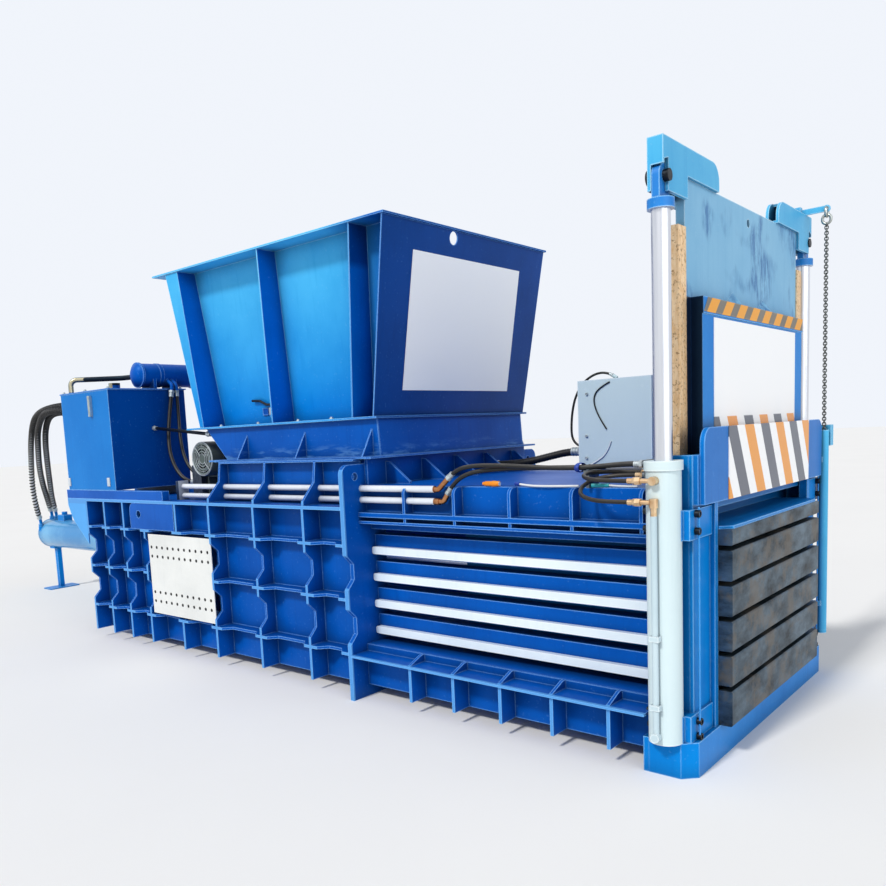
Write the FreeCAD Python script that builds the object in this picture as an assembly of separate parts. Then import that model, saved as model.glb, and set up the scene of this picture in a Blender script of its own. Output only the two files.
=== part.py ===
import FreeCAD, Part
import math
import os

# Recycling baler, horizontal, built in millimetres with +Z up and +X toward the discharge gate.
# Origin: floor level under the middle keel, on the centre line of the bale chamber.

# ---- overall and shared sizes -------------------------------------------------------------
RAM_FACE = 4215.0          # ram face at full stroke, from the origin
REAR_END = -3830.0         # rear end of the main cylinder
RAM_HALF = 700.0           # half width of the ram
RAM_BOTTOM, RAM_TOP = 165.0, 1105.0
SLIDE = 0.5                # running gap around the ram
BORE_HALF = RAM_HALF + 2.0  # inner face of the side walls
FLOOR_TOP = RAM_BOTTOM - SLIDE
FLOOR_T = 30.0
ROOF_Z = RAM_TOP + 2.0     # underside of the chamber roof
ROOF_T = 28.0
SKIN = 12.0                # wall plate
RIB = 18.0                 # rib and stiffener plate
RIB_OUT = 1058.0           # outer edge of the ribs from the centre line
WALL_OUT = 922.0           # outer face of the wall plate
RIB_FOOT = 73.0            # underside of the ribs above the floor

# ---- rear section (ram housing and feed section) -------------------------------------------
REAR_X = -951.0
REAR_RIBS = (-951.0, -662.0, -378.0, -88.0, 341.0, 750.0, 1242.0, 1727.0)
SHORT_RIBS = (341.0,)      # a rib that leaves out the two middle cells, behind the access panel
STIFF_Z = (287.0, 620.0, 946.0)
DECK_TOP, DECK_T = 1177.0, 20.0
KEELS, KEEL_W = (-860.0, -55.0, 1900.0), 110.0
SCALLOP = 58.0             # depth of the relieved edges
TAIL_X = -1247.0
PORTAL_X, PORTAL_T = 2065.0, 30.0
PORTAL_TOP = 1423.0
FEED_REAR = 700.0          # rear edge of the feed opening
FEED_WALL = 865.0          # outer face of the upper feed wall
FEED_TOP = 1440.0
PANEL = (-50.0, REAR_RIBS[5] - RIB / 2)   # access panel span, face to face with the rib at its front
PANEL_Z = (312.0, 921.0)
LUG_X, LUG_T = (-279.0, 316.0), 20.0
LUG_EYE = (-155.0, 1070.0, 56.0)   # x, z and bore of the lifting eye
PANEL_OUT = 1050.0         # its outer face, just inside the rib edges

# ---- bale chamber ---------------------------------------------------------------------------
CHAMBER = (PORTAL_X + PORTAL_T, 3950.0)
SLOT_Z0, SLOT_PITCH, SLOT_H = 345.0, 165.0, 36.0
SLOTS = [SLOT_Z0 + SLOT_PITCH * i for i in range(5)]
BEAM_OUT = 800.0
RAIL_H, RAIL_T = 45.0, 32.0
TOP_RIBS = [2455.0 + 358.0 * i for i in range(5)]
FOOT_RIBS = [2543.0 + 305.5 * i for i in range(5)]
TOP_OUT, TOP_WALL, TOP_Z = 934.0, 862.0, 1290.0
FLANGE_Z = 285.0

# ---- gate end -------------------------------------------------------------------------------
POST = (3950.0, 3980.0, 4107.0, 4125.0, 4150.0)   # rear plate, groove, front plate, lip
POST_OUT, POST_TOP = 930.0, 1440.0
BASE_X, BASE_HALF = 4160.0, 1020.0
HEAD_Z = (1222.0, 1556.0)
HEAD_IN, HEAD_OUT = 632.0, 913.0
GATE_STROKE = 1010.0
GATE_Z0 = FLOOR_TOP + 3.0 + GATE_STROKE
DOOR_X, DOOR_HALF, DOOR_TOP = (3988.0, 4100.0), 748.0, 2132.0
PLATE_X, PLATE_HALF, PLATE_TOP = (4008.0, 4048.0), 808.0, 2632.0
GUIDE_OUT, GUIDE_TOP = 892.0, 2425.0
BARREL_D, BARREL_BORE, ROD_D = 150.0, 120.0, 80.0
BARREL_GAP = 8.0           # barrel to post
CYL_X, CYL_Y = POST[0] + 5.0 + BARREL_D / 2, POST_OUT + BARREL_GAP + BARREL_D / 2
GLAND_Z = (1382.0, 1423.0)
EYE_Z, EYE_T = 2600.0, 35.0
LINE_D = 28.0
HOSE_END_X = 3942.0        # where the lift hoses meet the port fittings
EAR_X = (3994.0, CYL_X + 34.0)
EAR_OUT, EAR_TOP = CYL_Y + 49.0, 2752.0
GUSSETS = (-224.0, 224.0)  # middle of the folded gussets on the door, along y

# ---- main cylinder ----------------------------------------------------------------------------
STROKE = 3600.0
RAM_LENGTH = 1500.0
MAIN_Z, MAIN_D, MAIN_BORE, MAIN_ROD = 635.0, 320.0, 280.0, 200.0
MAIN_FRONT = 330.0
VALVE_X = REAR_END + 350.0   # valve block on the barrel
PORTS = ((REAR_END + 40.0, -138.0), (REAR_END + 40.0, 0.0), (REAR_END + 150.0, 0.0))   # hose ports, x and y
PORT_D = 34.0
BLOCK_DEPTH, BLOCK_GAP = 200.0, 24.0

# ---- hopper -----------------------------------------------------------------------------------
RIM_Z = 2841.0
HOP_TOP = (170.0, 2335.0, 860.0, 708.0)   # rear x, front x, half width over the ribs and of the side walls
HOP_BOT = (394.0, 2148.0, 815.0, 620.0)
BOX_Z = (1464.0, 1690.0)
HOP_Z = (BOX_Z[1] + SKIN, RIM_Z - SKIN)
HOP_RIBS = ((310.0, 430.0), (1217.0, 1212.0), (2060.0, 1964.0))   # x at the rim, x at the foot
RIM_REAR, RIM_OVER = 11.0, 16.0
HOP_HOLE = (-190.0, 2784.0, 80.0)  # y, z and bore of the hole in the front plate
SHEET = 8.0

# ---- power unit ---------------------------------------------------------------------------------
TANK = (-1204.0, -448.0, -1055.0, -355.0, 1250.0, 2040.0)
DRUM_AT, DRUM_Y, DRUM_D = (-560.0, 2165.0), (-700.0, -200.0), 190.0
DRUM_ELBOW_X, DRUM_ELBOW_Z = TANK[1] + 37.0, TANK[5] - 8.0
DRUM_ELBOWS = ((-500.0, 10.0), (-452.0, 1.5))   # y of the two hose elbows, and their lean
MOTOR_X, MOTOR_Z, MOTOR_D = 229.0, 1469.0, 250.0
MOTOR_Y = (-700.0, -240.0)
SHAFT_D = 38.0
PIPE_D, PIPE_Y, PIPE_Z = 38.0, -900.0, (1276.0, 1208.0)
PIPE_X = (250.0, 2665.0)
FIT = 0.4                  # hole over pipe


def v(x, y, z):
    return FreeCAD.Vector(x, y, z)


def box(x0, x1, y0, y1, z0, z1):
    return Part.makeBox(x1 - x0, y1 - y0, z1 - z0, v(x0, y0, z0))


def cyl(d, length, at, axis):
    return Part.makeCylinder(d / 2.0, length, v(*at), v(*axis))


def ring(d_out, d_in, length, at, axis):
    return cyl(d_out, length, at, axis).cut(cyl(d_in, length, at, axis))


def fuse(parts):
    shape = parts[0].multiFuse(parts[1:]) if len(parts) > 1 else parts[0]
    return shape.removeSplitter()


def group(parts):
    return Part.makeCompound(parts)


def parted(shape, cutters):
    """Cuts a welded form into its plates along the given shapes."""
    plates = []
    for cutter in cutters:
        plates.append(shape.common(cutter))
        shape = shape.cut(cutter)
    return plates + [shape]


def fitted(parts):
    """Plates in welding order: each one is cut back where it meets those before it."""
    done = []
    for part in parts:
        done.append(part.cut(group(done)) if done else part)
    return group(done)


def slab(points, offset):
    """Flat plate: a face through the points, given thickness along the offset."""
    corners = [v(*p) for p in points]
    return Part.Face(Part.makePolygon(corners + [corners[0]])).extrude(v(*offset))


def mirror(shape):
    return shape.mirror(v(0, 0, 0), v(0, 1, 0))


def outline(points, radii):
    """Closed outline in a plane; a corner with a radius becomes a tangent arc."""
    edges, starts, n = [], [], len(points)
    for i in range(n):
        p, a, b = v(*points[i]), v(*points[i - 1]), v(*points[(i + 1) % n])
        r = radii.get(i, 0.0)
        if not r:
            starts.append((p, None, p))
            continue
        u, w = (a - p).normalize(), (b - p).normalize()
        half = u.getAngle(w) / 2.0
        t = r / math.tan(half)
        bis = (u + w).normalize()
        mid = p + bis * (r / math.sin(half) - r)
        starts.append((p + u * t, mid, p + w * t))
    for i in range(n):
        first, mid, out = starts[i]
        if mid is not None:
            edges.append(Part.Arc(first, mid, out).toShape())
        nxt = starts[(i + 1) % n][0]
        if (nxt - out).Length > 1e-6:
            edges.append(Part.LineSegment(out, nxt).toShape())
    return Part.Face(Part.Wire(edges))


def plate_yz(points, x0, x1, radii=None):
    face = outline([(x0, y, z) for y, z in points], radii or {})
    return face.extrude(v(x1 - x0, 0, 0))


def plate_xz(points, y0, y1, radii=None):
    face = outline([(x, y0, z) for x, z in points], radii or {})
    return face.extrude(v(0, y1 - y0, 0))


def plate_xy(points, z0, z1, radii=None):
    face = outline([(x, y, z0) for x, y in points], radii or {})
    return face.extrude(v(0, 0, z1 - z0))


def hexagon(size, length, at, axis):
    """Hexagon-head bolt head standing on a face, size across flats."""
    r = size / math.sqrt(3.0)
    if axis[0]:
        pts = [(0, r * math.cos(math.pi / 3 * i), r * math.sin(math.pi / 3 * i)) for i in range(6)]
    elif axis[1]:
        pts = [(r * math.cos(math.pi / 3 * i), 0, r * math.sin(math.pi / 3 * i)) for i in range(6)]
    else:
        pts = [(r * math.cos(math.pi / 3 * i), r * math.sin(math.pi / 3 * i), 0) for i in range(6)]
    face = outline([tuple(a + b for a, b in zip(p, at)) for p in pts], {})
    return face.extrude(v(*axis) * length)


def tube_along(points, d, name=None):
    """Round tube through a route: straight runs joined by tangent arcs."""
    pts = [v(*p) for p in points]
    edges, radii, here = [], [], pts[0]
    for a, p, b in zip(pts, pts[1:], pts[2:]):
        u, w = (a - p), (b - p)
        short = min(u.Length, w.Length)
        u.normalize()
        w.normalize()
        turn = math.pi - u.getAngle(w)
        r = 0.45 * short / math.tan(turn / 2.0)
        radii.append(r)
        t = r * math.tan(turn / 2.0)
        start, end = p + u * t, p + w * t
        bis = (u + w).normalize()
        mid = p + bis * (r / math.cos(turn / 2.0) - r)
        edges.append(Part.LineSegment(here, start).toShape())
        edges.append(Part.Arc(start, mid, end).toShape())
        here = end
    edges.append(Part.LineSegment(here, pts[-1]).toShape())
    wire = Part.Wire(edges)
    circle = Part.Wire([Part.Circle(pts[0], pts[1] - pts[0], d / 2.0).toShape()])
    solid = wire.makePipeShell([circle], True, False)
    ideal = math.pi * d * d / 4.0 * wire.Length
    if abs(solid.Volume / ideal - 1.0) > 0.02:
        raise ValueError("%s: tube volume off by %.3f" % (name, solid.Volume / ideal))
    if name:
        print("%s: %.0f mm long, least bend radius %.0f mm (%.1f d)"
              % (name, wire.Length, min(radii or [0]), min(radii or [0]) / d))
    return solid


# ---- rear section --------------------------------------------------------------------------------

def rib_points(z_low, z_high, scalloped, wall, out):
    """Rib outline in the cross plane from the wall to its relieved outer edge (near side, -Y)."""
    levels = [z_low] + [z for z in STIFF_Z if z_low < z < z_high] + [z_high]
    edge = [(-out, z_low)]
    for a, b in zip(levels, levels[1:]):
        if (a, b) in scalloped:
            step = SCALLOP
            edge += [(-out, a + step), (-out + step, a + 2 * step),
                     (-out + step, b - 2 * step), (-out, b - step)]
    edge.append((-out, z_high))
    return edge + [(-wall, z_high), (-wall, z_low)]


def stiffener(z):
    """Longitudinal stiffener whose outer edge is relieved between the ribs."""
    edge = [(REAR_RIBS[0], -RIB_OUT)]
    ends = REAR_RIBS + (PORTAL_X,)
    for a, b in zip(ends, ends[1:]):
        s = min(SCALLOP, (b - a) / 5.0)
        edge += [(a + s, -RIB_OUT), (a + 2 * s, -RIB_OUT + s), (b - 2 * s, -RIB_OUT + s), (b - s, -RIB_OUT)]
    edge += [(PORTAL_X, -RIB_OUT), (PORTAL_X, -WALL_OUT), (REAR_RIBS[0], -WALL_OUT)]
    plate = plate_xy(edge, z - RIB / 2, z + RIB / 2)
    if z == STIFF_Z[1]:
        plate = plate.cut(box(REAR_RIBS[3] + RIB / 2, REAR_RIBS[5] - RIB / 2, -RIB_OUT - 1, 0,
                              z - RIB, z + RIB))
    return plate


def half_lap(ribs, bars, line):
    """Slots crossing plates into each other: the ribs keep their inner half, the bars their outer half."""
    outer = box(REAR_X - 1, PORTAL_X + 1, -RIB_OUT - 1, -line, 0, DECK_TOP)
    inner = box(REAR_X - 1, PORTAL_X + 1, -line, 0, 0, DECK_TOP)
    rib_slots = group([bar.common(outer) for bar in bars])
    bar_slots = group([rib.common(inner) for rib in ribs])
    return [rib.cut(rib_slots) for rib in ribs], [bar.cut(bar_slots) for bar in bars]


def rear_wall_near():
    """Wall plates, upright ribs and stiffeners, slotted into each other as plates of their own."""
    cells = [(STIFF_Z[0], STIFF_Z[1]), (STIFF_Z[1], STIFF_Z[2])]
    top = DECK_TOP - DECK_T
    walls = [
        box(REAR_X, PORTAL_X, -WALL_OUT, -WALL_OUT + SKIN, RIB_FOOT, top),
        box(REAR_X, PORTAL_X, -BORE_HALF - 16, -BORE_HALF, FLOOR_TOP, top),
        box(TAIL_X, PORTAL_X, -RIB_OUT, -BORE_HALF, top, DECK_TOP),
        box(REAR_X, REAR_X + RIB, -WALL_OUT + SKIN, -BORE_HALF - 16, FLOOR_TOP, top),
    ]
    hole = box(PANEL[0] + 60, PANEL[1] - 60, -WALL_OUT - 1, -WALL_OUT + SKIN + 1,
               PANEL_Z[0] + 50, PANEL_Z[1] - 50)
    walls[0] = walls[0].cut(hole)
    (x0, x1), z0 = LUG_X, STIFF_Z[2] + RIB / 2
    relief = box(x0, x1, -RIB_OUT - 1, -RIB_OUT + LUG_T + 4, z0, top)
    ribs = []
    for x in REAR_RIBS:
        r0 = min(max(x - RIB / 2, REAR_X), PORTAL_X)
        spans = [(STIFF_Z[2], top), (RIB_FOOT, STIFF_Z[0])] if x in SHORT_RIBS else [(RIB_FOOT, top)]
        ribs += [plate_yz(rib_points(a, b, cells, WALL_OUT, RIB_OUT), r0, r0 + RIB).cut(relief)
                 for a, b in spans]
    bars = [solid for z in STIFF_Z for solid in stiffener(z).Solids]
    ribs, bars = half_lap(ribs, bars, (WALL_OUT + RIB_OUT) / 2)
    return group(walls + ribs + bars)


def lug_plate():
    """Lifting lug standing in the top cell between two ribs, with one rounded corner and an eye."""
    (x0, x1), (z0, z1) = LUG_X, (STIFF_Z[2] + RIB / 2, DECK_TOP - DECK_T)
    y0, y1 = -RIB_OUT + 4, -RIB_OUT + 4 + LUG_T
    lug = plate_xz([(x0, z0), (x1, z0), (x1, z1), (x0, z1)], y0, y1, {3: 60})
    webs = [box(x, x + 18, y1, -WALL_OUT, z0, z1) for x in (x0 + 250, x1 - 76)]
    return fuse([lug] + webs).cut(cyl(LUG_EYE[2], 60, (LUG_EYE[0], y0 - 10, LUG_EYE[1]), (0, 1, 0)))


def access_panel():
    """Removable vent panel with rows of round holes near its top and bottom edges."""
    z0, z1 = PANEL_Z
    panel = box(PANEL[0], PANEL[1], -PANEL_OUT, -PANEL_OUT + 6, z0, z1)
    pitch = (PANEL[1] - PANEL[0] - 78) / 10
    holes = [cyl(16, 10, (PANEL[0] + 36 + pitch * i, -PANEL_OUT - 2, z), (0, 1, 0))
             for z in (z0 + 95, z0 + 165, z1 - 168, z1 - 98) for i in range(11)]
    return panel.cut(group(holes))


def tail_bracket():
    """Curved bracket plate carrying the overhanging deck at the rear."""
    pts = [(REAR_X, DECK_TOP - DECK_T), (TAIL_X, DECK_TOP - DECK_T), (TAIL_X, DECK_TOP - DECK_T - 40),
           (TAIL_X + 60, 1000.0), (REAR_X, 800.0)]
    return plate_xz(pts, -RIB_OUT, -RIB_OUT + SKIN, {3: 220})


def upper_feed_wall():
    """Upper side wall of the feed opening with ribs that carry the two long pipes."""
    holes = [cyl(PIPE_D + FIT, 3000, (0, PIPE_Y, z), (1, 0, 0)) for z in PIPE_Z]
    parts = [
        box(FEED_REAR, PORTAL_X, -FEED_WALL, -FEED_WALL + 15, DECK_TOP, FEED_TOP),
        plate_xy([(FEED_REAR, -FEED_WALL - 65), (PORTAL_X, -FEED_WALL - 65),
                  (PORTAL_X, -770), (FEED_REAR, -770)],
                 FEED_TOP, FEED_TOP + SKIN, {0: 60}),
    ]
    profile = [(-FEED_WALL, DECK_TOP), (-RIB_OUT + 8, DECK_TOP), (-RIB_OUT + 8, DECK_TOP + 26),
               (-FEED_WALL - 82, DECK_TOP + 138), (-FEED_WALL - 65, FEED_TOP), (-FEED_WALL, FEED_TOP)]
    for x in REAR_RIBS[5:]:
        parts.append(plate_yz(profile, x - RIB / 2, x + RIB / 2))
    return group(parts).cut(group(holes))


def rear_deck():
    parts = [
        box(TAIL_X, FEED_REAR, -BORE_HALF, BORE_HALF, DECK_TOP - DECK_T, DECK_TOP),
        box(FEED_REAR - 14, FEED_REAR, -FEED_WALL, FEED_WALL, DECK_TOP, FEED_TOP + SKIN),
    ]
    return fuse(parts)


def rear_bulkhead():
    plate = box(REAR_X - 40, REAR_X, -WALL_OUT, WALL_OUT, FLOOR_TOP - FLOOR_T, DECK_TOP - DECK_T)
    return plate.cut(cyl(MAIN_D + FIT, 60, (REAR_X - 50, 0, MAIN_Z), (1, 0, 0)))


def floor_plate():
    plate = box(REAR_X, CHAMBER[1], -WALL_OUT + SKIN, WALL_OUT - SKIN, FLOOR_TOP - FLOOR_T, FLOOR_TOP)
    keels = [box(x, x + KEEL_W, -BORE_HALF, BORE_HALF, 0, FLOOR_TOP - FLOOR_T) for x in KEELS]
    notches = [box(PORTAL_X, PORTAL_X + PORTAL_T, y, y + WALL_OUT, FLOOR_TOP - FLOOR_T - 1, FLOOR_TOP + 1)
               for y in (-WALL_OUT - BORE_HALF, BORE_HALF)]
    return fuse([plate] + keels).cut(group(notches))


def portal_near():
    """Shear-frame plate between the feed section and the bale chamber; it stands on the floor."""
    cells = [(STIFF_Z[0], STIFF_Z[1]), (STIFF_Z[1], STIFF_Z[2])]
    pts = rib_points(0.0, PORTAL_TOP, cells, BORE_HALF, RIB_OUT)
    plate = plate_yz(pts, PORTAL_X, PORTAL_X + PORTAL_T, {len(pts) - 3: 60})
    cuts = [cyl(PIPE_D + FIT, 60, (PORTAL_X - 10, PIPE_Y, z), (1, 0, 0)) for z in PIPE_Z]
    cuts.append(cyl(44, 60, (PORTAL_X - 10, -950, 1350), (1, 0, 0)))
    return plate.cut(group(cuts))


def front_feed_wall():
    """Cross wall above the ram with five sloping gussets; its lower edge is the shear blade seat."""
    x0, x1 = PORTAL_X + PORTAL_T, PORTAL_X + PORTAL_T + 24
    parts = [
        box(PORTAL_X, x0, -BORE_HALF, BORE_HALF, ROOF_Z + ROOF_T, FEED_TOP + SKIN),
        box(x0, x1, -TOP_WALL, TOP_WALL, TOP_Z, FEED_TOP + SKIN),
    ]
    for y in (-690.0, -345.0, 0.0, 345.0, 690.0):
        parts.append(plate_xz([(x1, TOP_Z), (x1 + 190, TOP_Z), (x1 + 190, TOP_Z + 12),
                               (x1 + 30, 1425), (x1, 1425)],
                              y - 8, y + 8))
    return group(parts)


def shear_blade():
    return box(PORTAL_X - 40, PORTAL_X, -BORE_HALF + 2, BORE_HALF - 2, ROOF_Z + 2, ROOF_Z + 120)


# ---- bale chamber --------------------------------------------------------------------------------

def chamber_roof():
    """Roof slab with a closed box on top: side walls, cover, diaphragms inside and ribs outside."""
    x0, x1 = CHAMBER
    z0, inner = ROOF_Z + ROOF_T, TOP_WALL - SKIN
    parts = [
        box(x0, x1, -TOP_OUT, TOP_OUT, ROOF_Z, z0),
        box(x0, x1, -TOP_WALL, -inner, z0, TOP_Z),
        box(x0, x1, inner, TOP_WALL, z0, TOP_Z),
        box(x0, x1, -inner, inner, TOP_Z - SKIN, TOP_Z),
    ]
    for x in TOP_RIBS:
        span = (x - RIB / 2, x + RIB / 2)
        rib = plate_yz([(-TOP_OUT, z0), (-TOP_WALL, z0), (-TOP_WALL, TOP_Z), (-TOP_OUT, TOP_Z)],
                       *span, {3: 42})
        parts += [rib, mirror(rib), box(*span, -inner, inner, z0, TOP_Z - SKIN)]
    holes = [cyl(PIPE_D + FIT, 700, (CHAMBER[0] - 10, PIPE_Y, z), (1, 0, 0)) for z in PIPE_Z]
    return group(parts).cut(group(holes))


def top_band_near():
    """Band under the roof: lower flange with its rib stubs and the bar above the first tie slot."""
    x0, x1 = CHAMBER
    z_bar = SLOTS[4] + SLOT_H / 2
    parts = [
        box(x0, x1, -830, -BORE_HALF, z_bar, 1068),
        box(x0, x1, -TOP_OUT, -BORE_HALF, 1068, 1084),
        box(x0, x1, -TOP_WALL, -TOP_WALL + SKIN, 1084, ROOF_Z),
    ]
    for x in TOP_RIBS:
        parts.append(box(x - RIB / 2, x + RIB / 2, -TOP_OUT + 4, -TOP_WALL, 1084, ROOF_Z))
    return fuse(parts)


def side_beams_near():
    """Four hollow beams; the open slots between them let the tie wires through."""
    x0, x1 = CHAMBER
    beams = []
    for a, b in zip(SLOTS, SLOTS[1:]):
        z0, z1 = a + SLOT_H / 2, b - SLOT_H / 2
        outer = box(x0, x1, -BEAM_OUT, -BORE_HALF, z0, z1)
        inner = box(x0, x1, -BEAM_OUT + 14, -BORE_HALF - 20, z0 + 14, z1 - 14)
        beams.append(outer.cut(inner))
    return group(beams)


def side_rails_near():
    """White guide rails with rounded ends, one on the lower half of every side beam."""
    x0, x1 = CHAMBER[0], POST[0] - 2
    rails = []
    for z in SLOTS[:4]:
        z0 = z + SLOT_H / 2 + 11
        pts = [(x0, z0), (x1, z0), (x1, z0 + RAIL_H), (x0, z0 + RAIL_H)]
        rails.append(plate_xz(pts, -BEAM_OUT - RAIL_T, -BEAM_OUT, {0: 14, 3: 14}))
    return group(rails)


def bottom_band_near():
    """Lower band of the chamber wall, with its foot flange and gussets, as plates in welding order."""
    x0, x1 = CHAMBER
    top = SLOTS[0] - SLOT_H / 2
    wall = WALL_OUT
    parts = [
        box(x0, x1, -wall, -wall + SKIN, RIB_FOOT, top),
        box(x0, x1, -BORE_HALF - 16, -BORE_HALF, FLOOR_TOP, top),
        box(x0, x1, -wall, -BORE_HALF, top - SKIN, top),
        box(x0, x1, -RIB_OUT - 10, -wall, FLANGE_Z - SKIN, FLANGE_Z),
    ]
    for x in FOOT_RIBS:
        parts.append(box(x - RIB / 2, x + RIB / 2, -RIB_OUT + 8, -wall, RIB_FOOT, FLANGE_Z - SKIN))
        parts.append(plate_yz([(-RIB_OUT, FLANGE_Z), (-wall, FLANGE_Z), (-wall, top), (-wall - 24, top)],
                              x - RIB / 2, x + RIB / 2))
    return fitted(parts)


# ---- gate end ------------------------------------------------------------------------------------

def post_near():
    """Guide post: rear plate, outer plate and front plate round the groove of the gate."""
    rear = box(POST[0], POST[1], -POST_OUT, -BORE_HALF, FLOOR_TOP, POST_TOP)
    outer = box(POST[1], POST[2], -POST_OUT, -POST_OUT + 28, FLOOR_TOP, POST_TOP)
    front = fuse([box(POST[2], POST[3], -POST_OUT, -BORE_HALF, FLOOR_TOP, POST_TOP),
                  box(POST[3], POST[4], -738, -BORE_HALF, FLOOR_TOP, HEAD_Z[0])])
    return group([rear, outer, front])


def gate_head():
    """Head beam in front of the gate with its two raised ear plates."""
    z0, z1 = HEAD_Z
    beam = box(POST[3], POST[4], -POST_OUT, POST_OUT, z0, POST_TOP)
    parts = [beam]
    for s in (-1, 1):
        pts = [(s * HEAD_IN, z0), (s * HEAD_OUT, z0), (s * HEAD_OUT, z1), (s * HEAD_IN, z1)]
        parts.append(plate_yz(pts, POST[4], POST[4] + 22, {2: 70}))
    return fuse(parts)


def head_sign():
    return box(POST[4], POST[4] + 26, -HEAD_IN + 1, HEAD_IN - 1, HEAD_Z[0], HEAD_Z[1])


def rear_tie():
    """Cross plate behind the gate, above the chamber roof."""
    return box(POST[0], POST[1], -BORE_HALF, BORE_HALF, ROOF_Z, POST_TOP)


def gate_base():
    """Base beam under the gate, open below, with chamfered ends that carry the lift cylinders."""
    def footprint(grow, z0, z1):
        h, x0, x1 = BASE_HALF - grow, POST[0] + grow, BASE_X - grow
        pts = [(x0, -h), (x1 - 60, -h), (x1, -h + 60), (x1, h - 60), (x1 - 60, h), (x0, h)]
        return plate_xy(pts, z0, z1)
    shell = footprint(0, 0, FLOOR_TOP).cut(footprint(22, -1, FLOOR_TOP - 24))
    webs = [box(POST[0] + 22, BASE_X - 22, y - 10, y + 10, 0, FLOOR_TOP - 24)
            for y in (-700, -230, 230, 700)]
    seats = [box(POST[0] - 26, POST[0], s * 985 - 34, s * 985 + 34, 0, FLOOR_TOP) for s in (-1, 1)]
    return fuse([shell] + webs + seats)


def barrel_near():
    at = (CYL_X, -CYL_Y, FLOOR_TOP)
    tube = ring(BARREL_D, BARREL_BORE, GLAND_Z[0] - FLOOR_TOP, at, (0, 0, 1))
    cap = cyl(BARREL_BORE, 18, at, (0, 0, 1))
    return fuse([tube, cap])


def gland_near():
    z0, z1 = GLAND_Z
    body = cyl(BARREL_D + 16, z1 - z0, (CYL_X, -CYL_Y, z0), (0, 0, 1))
    return body.cut(cyl(ROD_D + 0.1, z1 - z0, (CYL_X, -CYL_Y, z0), (0, 0, 1)))


def rod_near():
    """Lift rod with its piston, collar and the eye that the gate pin passes through."""
    bottom = FLOOR_TOP + 26 + GATE_STROKE
    rod = cyl(ROD_D, EYE_Z - 90 - bottom, (CYL_X, -CYL_Y, bottom), (0, 0, 1))
    piston = cyl(BARREL_BORE - 0.1, 60, (CYL_X, -CYL_Y, bottom), (0, 0, 1))
    collar = cyl(112, 42, (CYL_X, -CYL_Y, EYE_Z - 132), (0, 0, 1))
    eye = plate_yz([(-CYL_Y - 50, EYE_Z - 90), (-CYL_Y + 50, EYE_Z - 90), (-CYL_Y + 50, EYE_Z + 50),
                    (-CYL_Y - 50, EYE_Z + 50)], CYL_X - EYE_T / 2, CYL_X + EYE_T / 2, {2: 48, 3: 48})
    shape = fuse([rod, piston, collar, eye])
    return shape.cut(cyl(50.1, 80, (CYL_X - 40, -CYL_Y, EYE_Z), (1, 0, 0)))


def ear_near():
    """Lifting ear: two cheeks, a top plate and a side plate round the rod eye."""
    x0, x1 = EAR_X
    leg = EYE_Z - 62
    front = [(-EAR_OUT, leg), (-EAR_OUT, EAR_TOP), (-440, EAR_TOP), (-440, PLATE_TOP), (-PLATE_HALF, PLATE_TOP),
             (-PLATE_HALF, leg)]
    cheeks = plate_yz(front, x1 - 16, x1, {2: 80})
    rear = plate_yz(front, x0, x0 + 16, {2: 80})
    notch = plate_yz([(-EAR_OUT - 8, leg - 1), (-EAR_OUT - 8, EYE_Z + 52), (-EAR_OUT + 52, EYE_Z + 70),
                      (-EAR_OUT + 52, leg - 1)], x1 - 17, x1 + 1)
    side = box(x0, x1, -EAR_OUT, -EAR_OUT + 12, EYE_Z + 40, EAR_TOP)
    top = box(x0, x1, -EAR_OUT, -525, EAR_TOP - 14, EAR_TOP)
    tongue = box(x0, PLATE_X[0], -PLATE_HALF, -460, PLATE_TOP - 120, PLATE_TOP)
    parts = fuse([cheeks.cut(notch), rear, side, top, tongue,
                  box(x0, x1, -540, -440, PLATE_TOP, PLATE_TOP + 14)])
    return parts.cut(cyl(50, 90, (x0 - 5, -CYL_Y, EYE_Z), (1, 0, 0)))


def pin_near():
    shaft = cyl(49.9, EAR_X[1] - EAR_X[0] + 16, (EAR_X[0] - 8, -CYL_Y, EYE_Z), (1, 0, 0))
    head = cyl(70, 8, (EAR_X[0] - 16, -CYL_Y, EYE_Z), (1, 0, 0))
    return fuse([shaft, head])


def folded_gusset(y):
    """Gusset folded from one triangle of plate, filled with weld: three corners on the door, one up the plate."""
    rear = PLATE_X[1]
    a, b = v(rear, y - 120, DOOR_TOP), v(rear, y + 120, DOOR_TOP)
    c, top = v(DOOR_X[1] - 2, y, DOOR_TOP), v(rear, y, DOOR_TOP + 70)
    sides = [(a, b, c), (a, b, top), (b, c, top), (c, a, top)]
    return Part.Solid(Part.Shell([Part.Face(Part.makePolygon([p, q, r, p])) for p, q, r in sides]))


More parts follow.
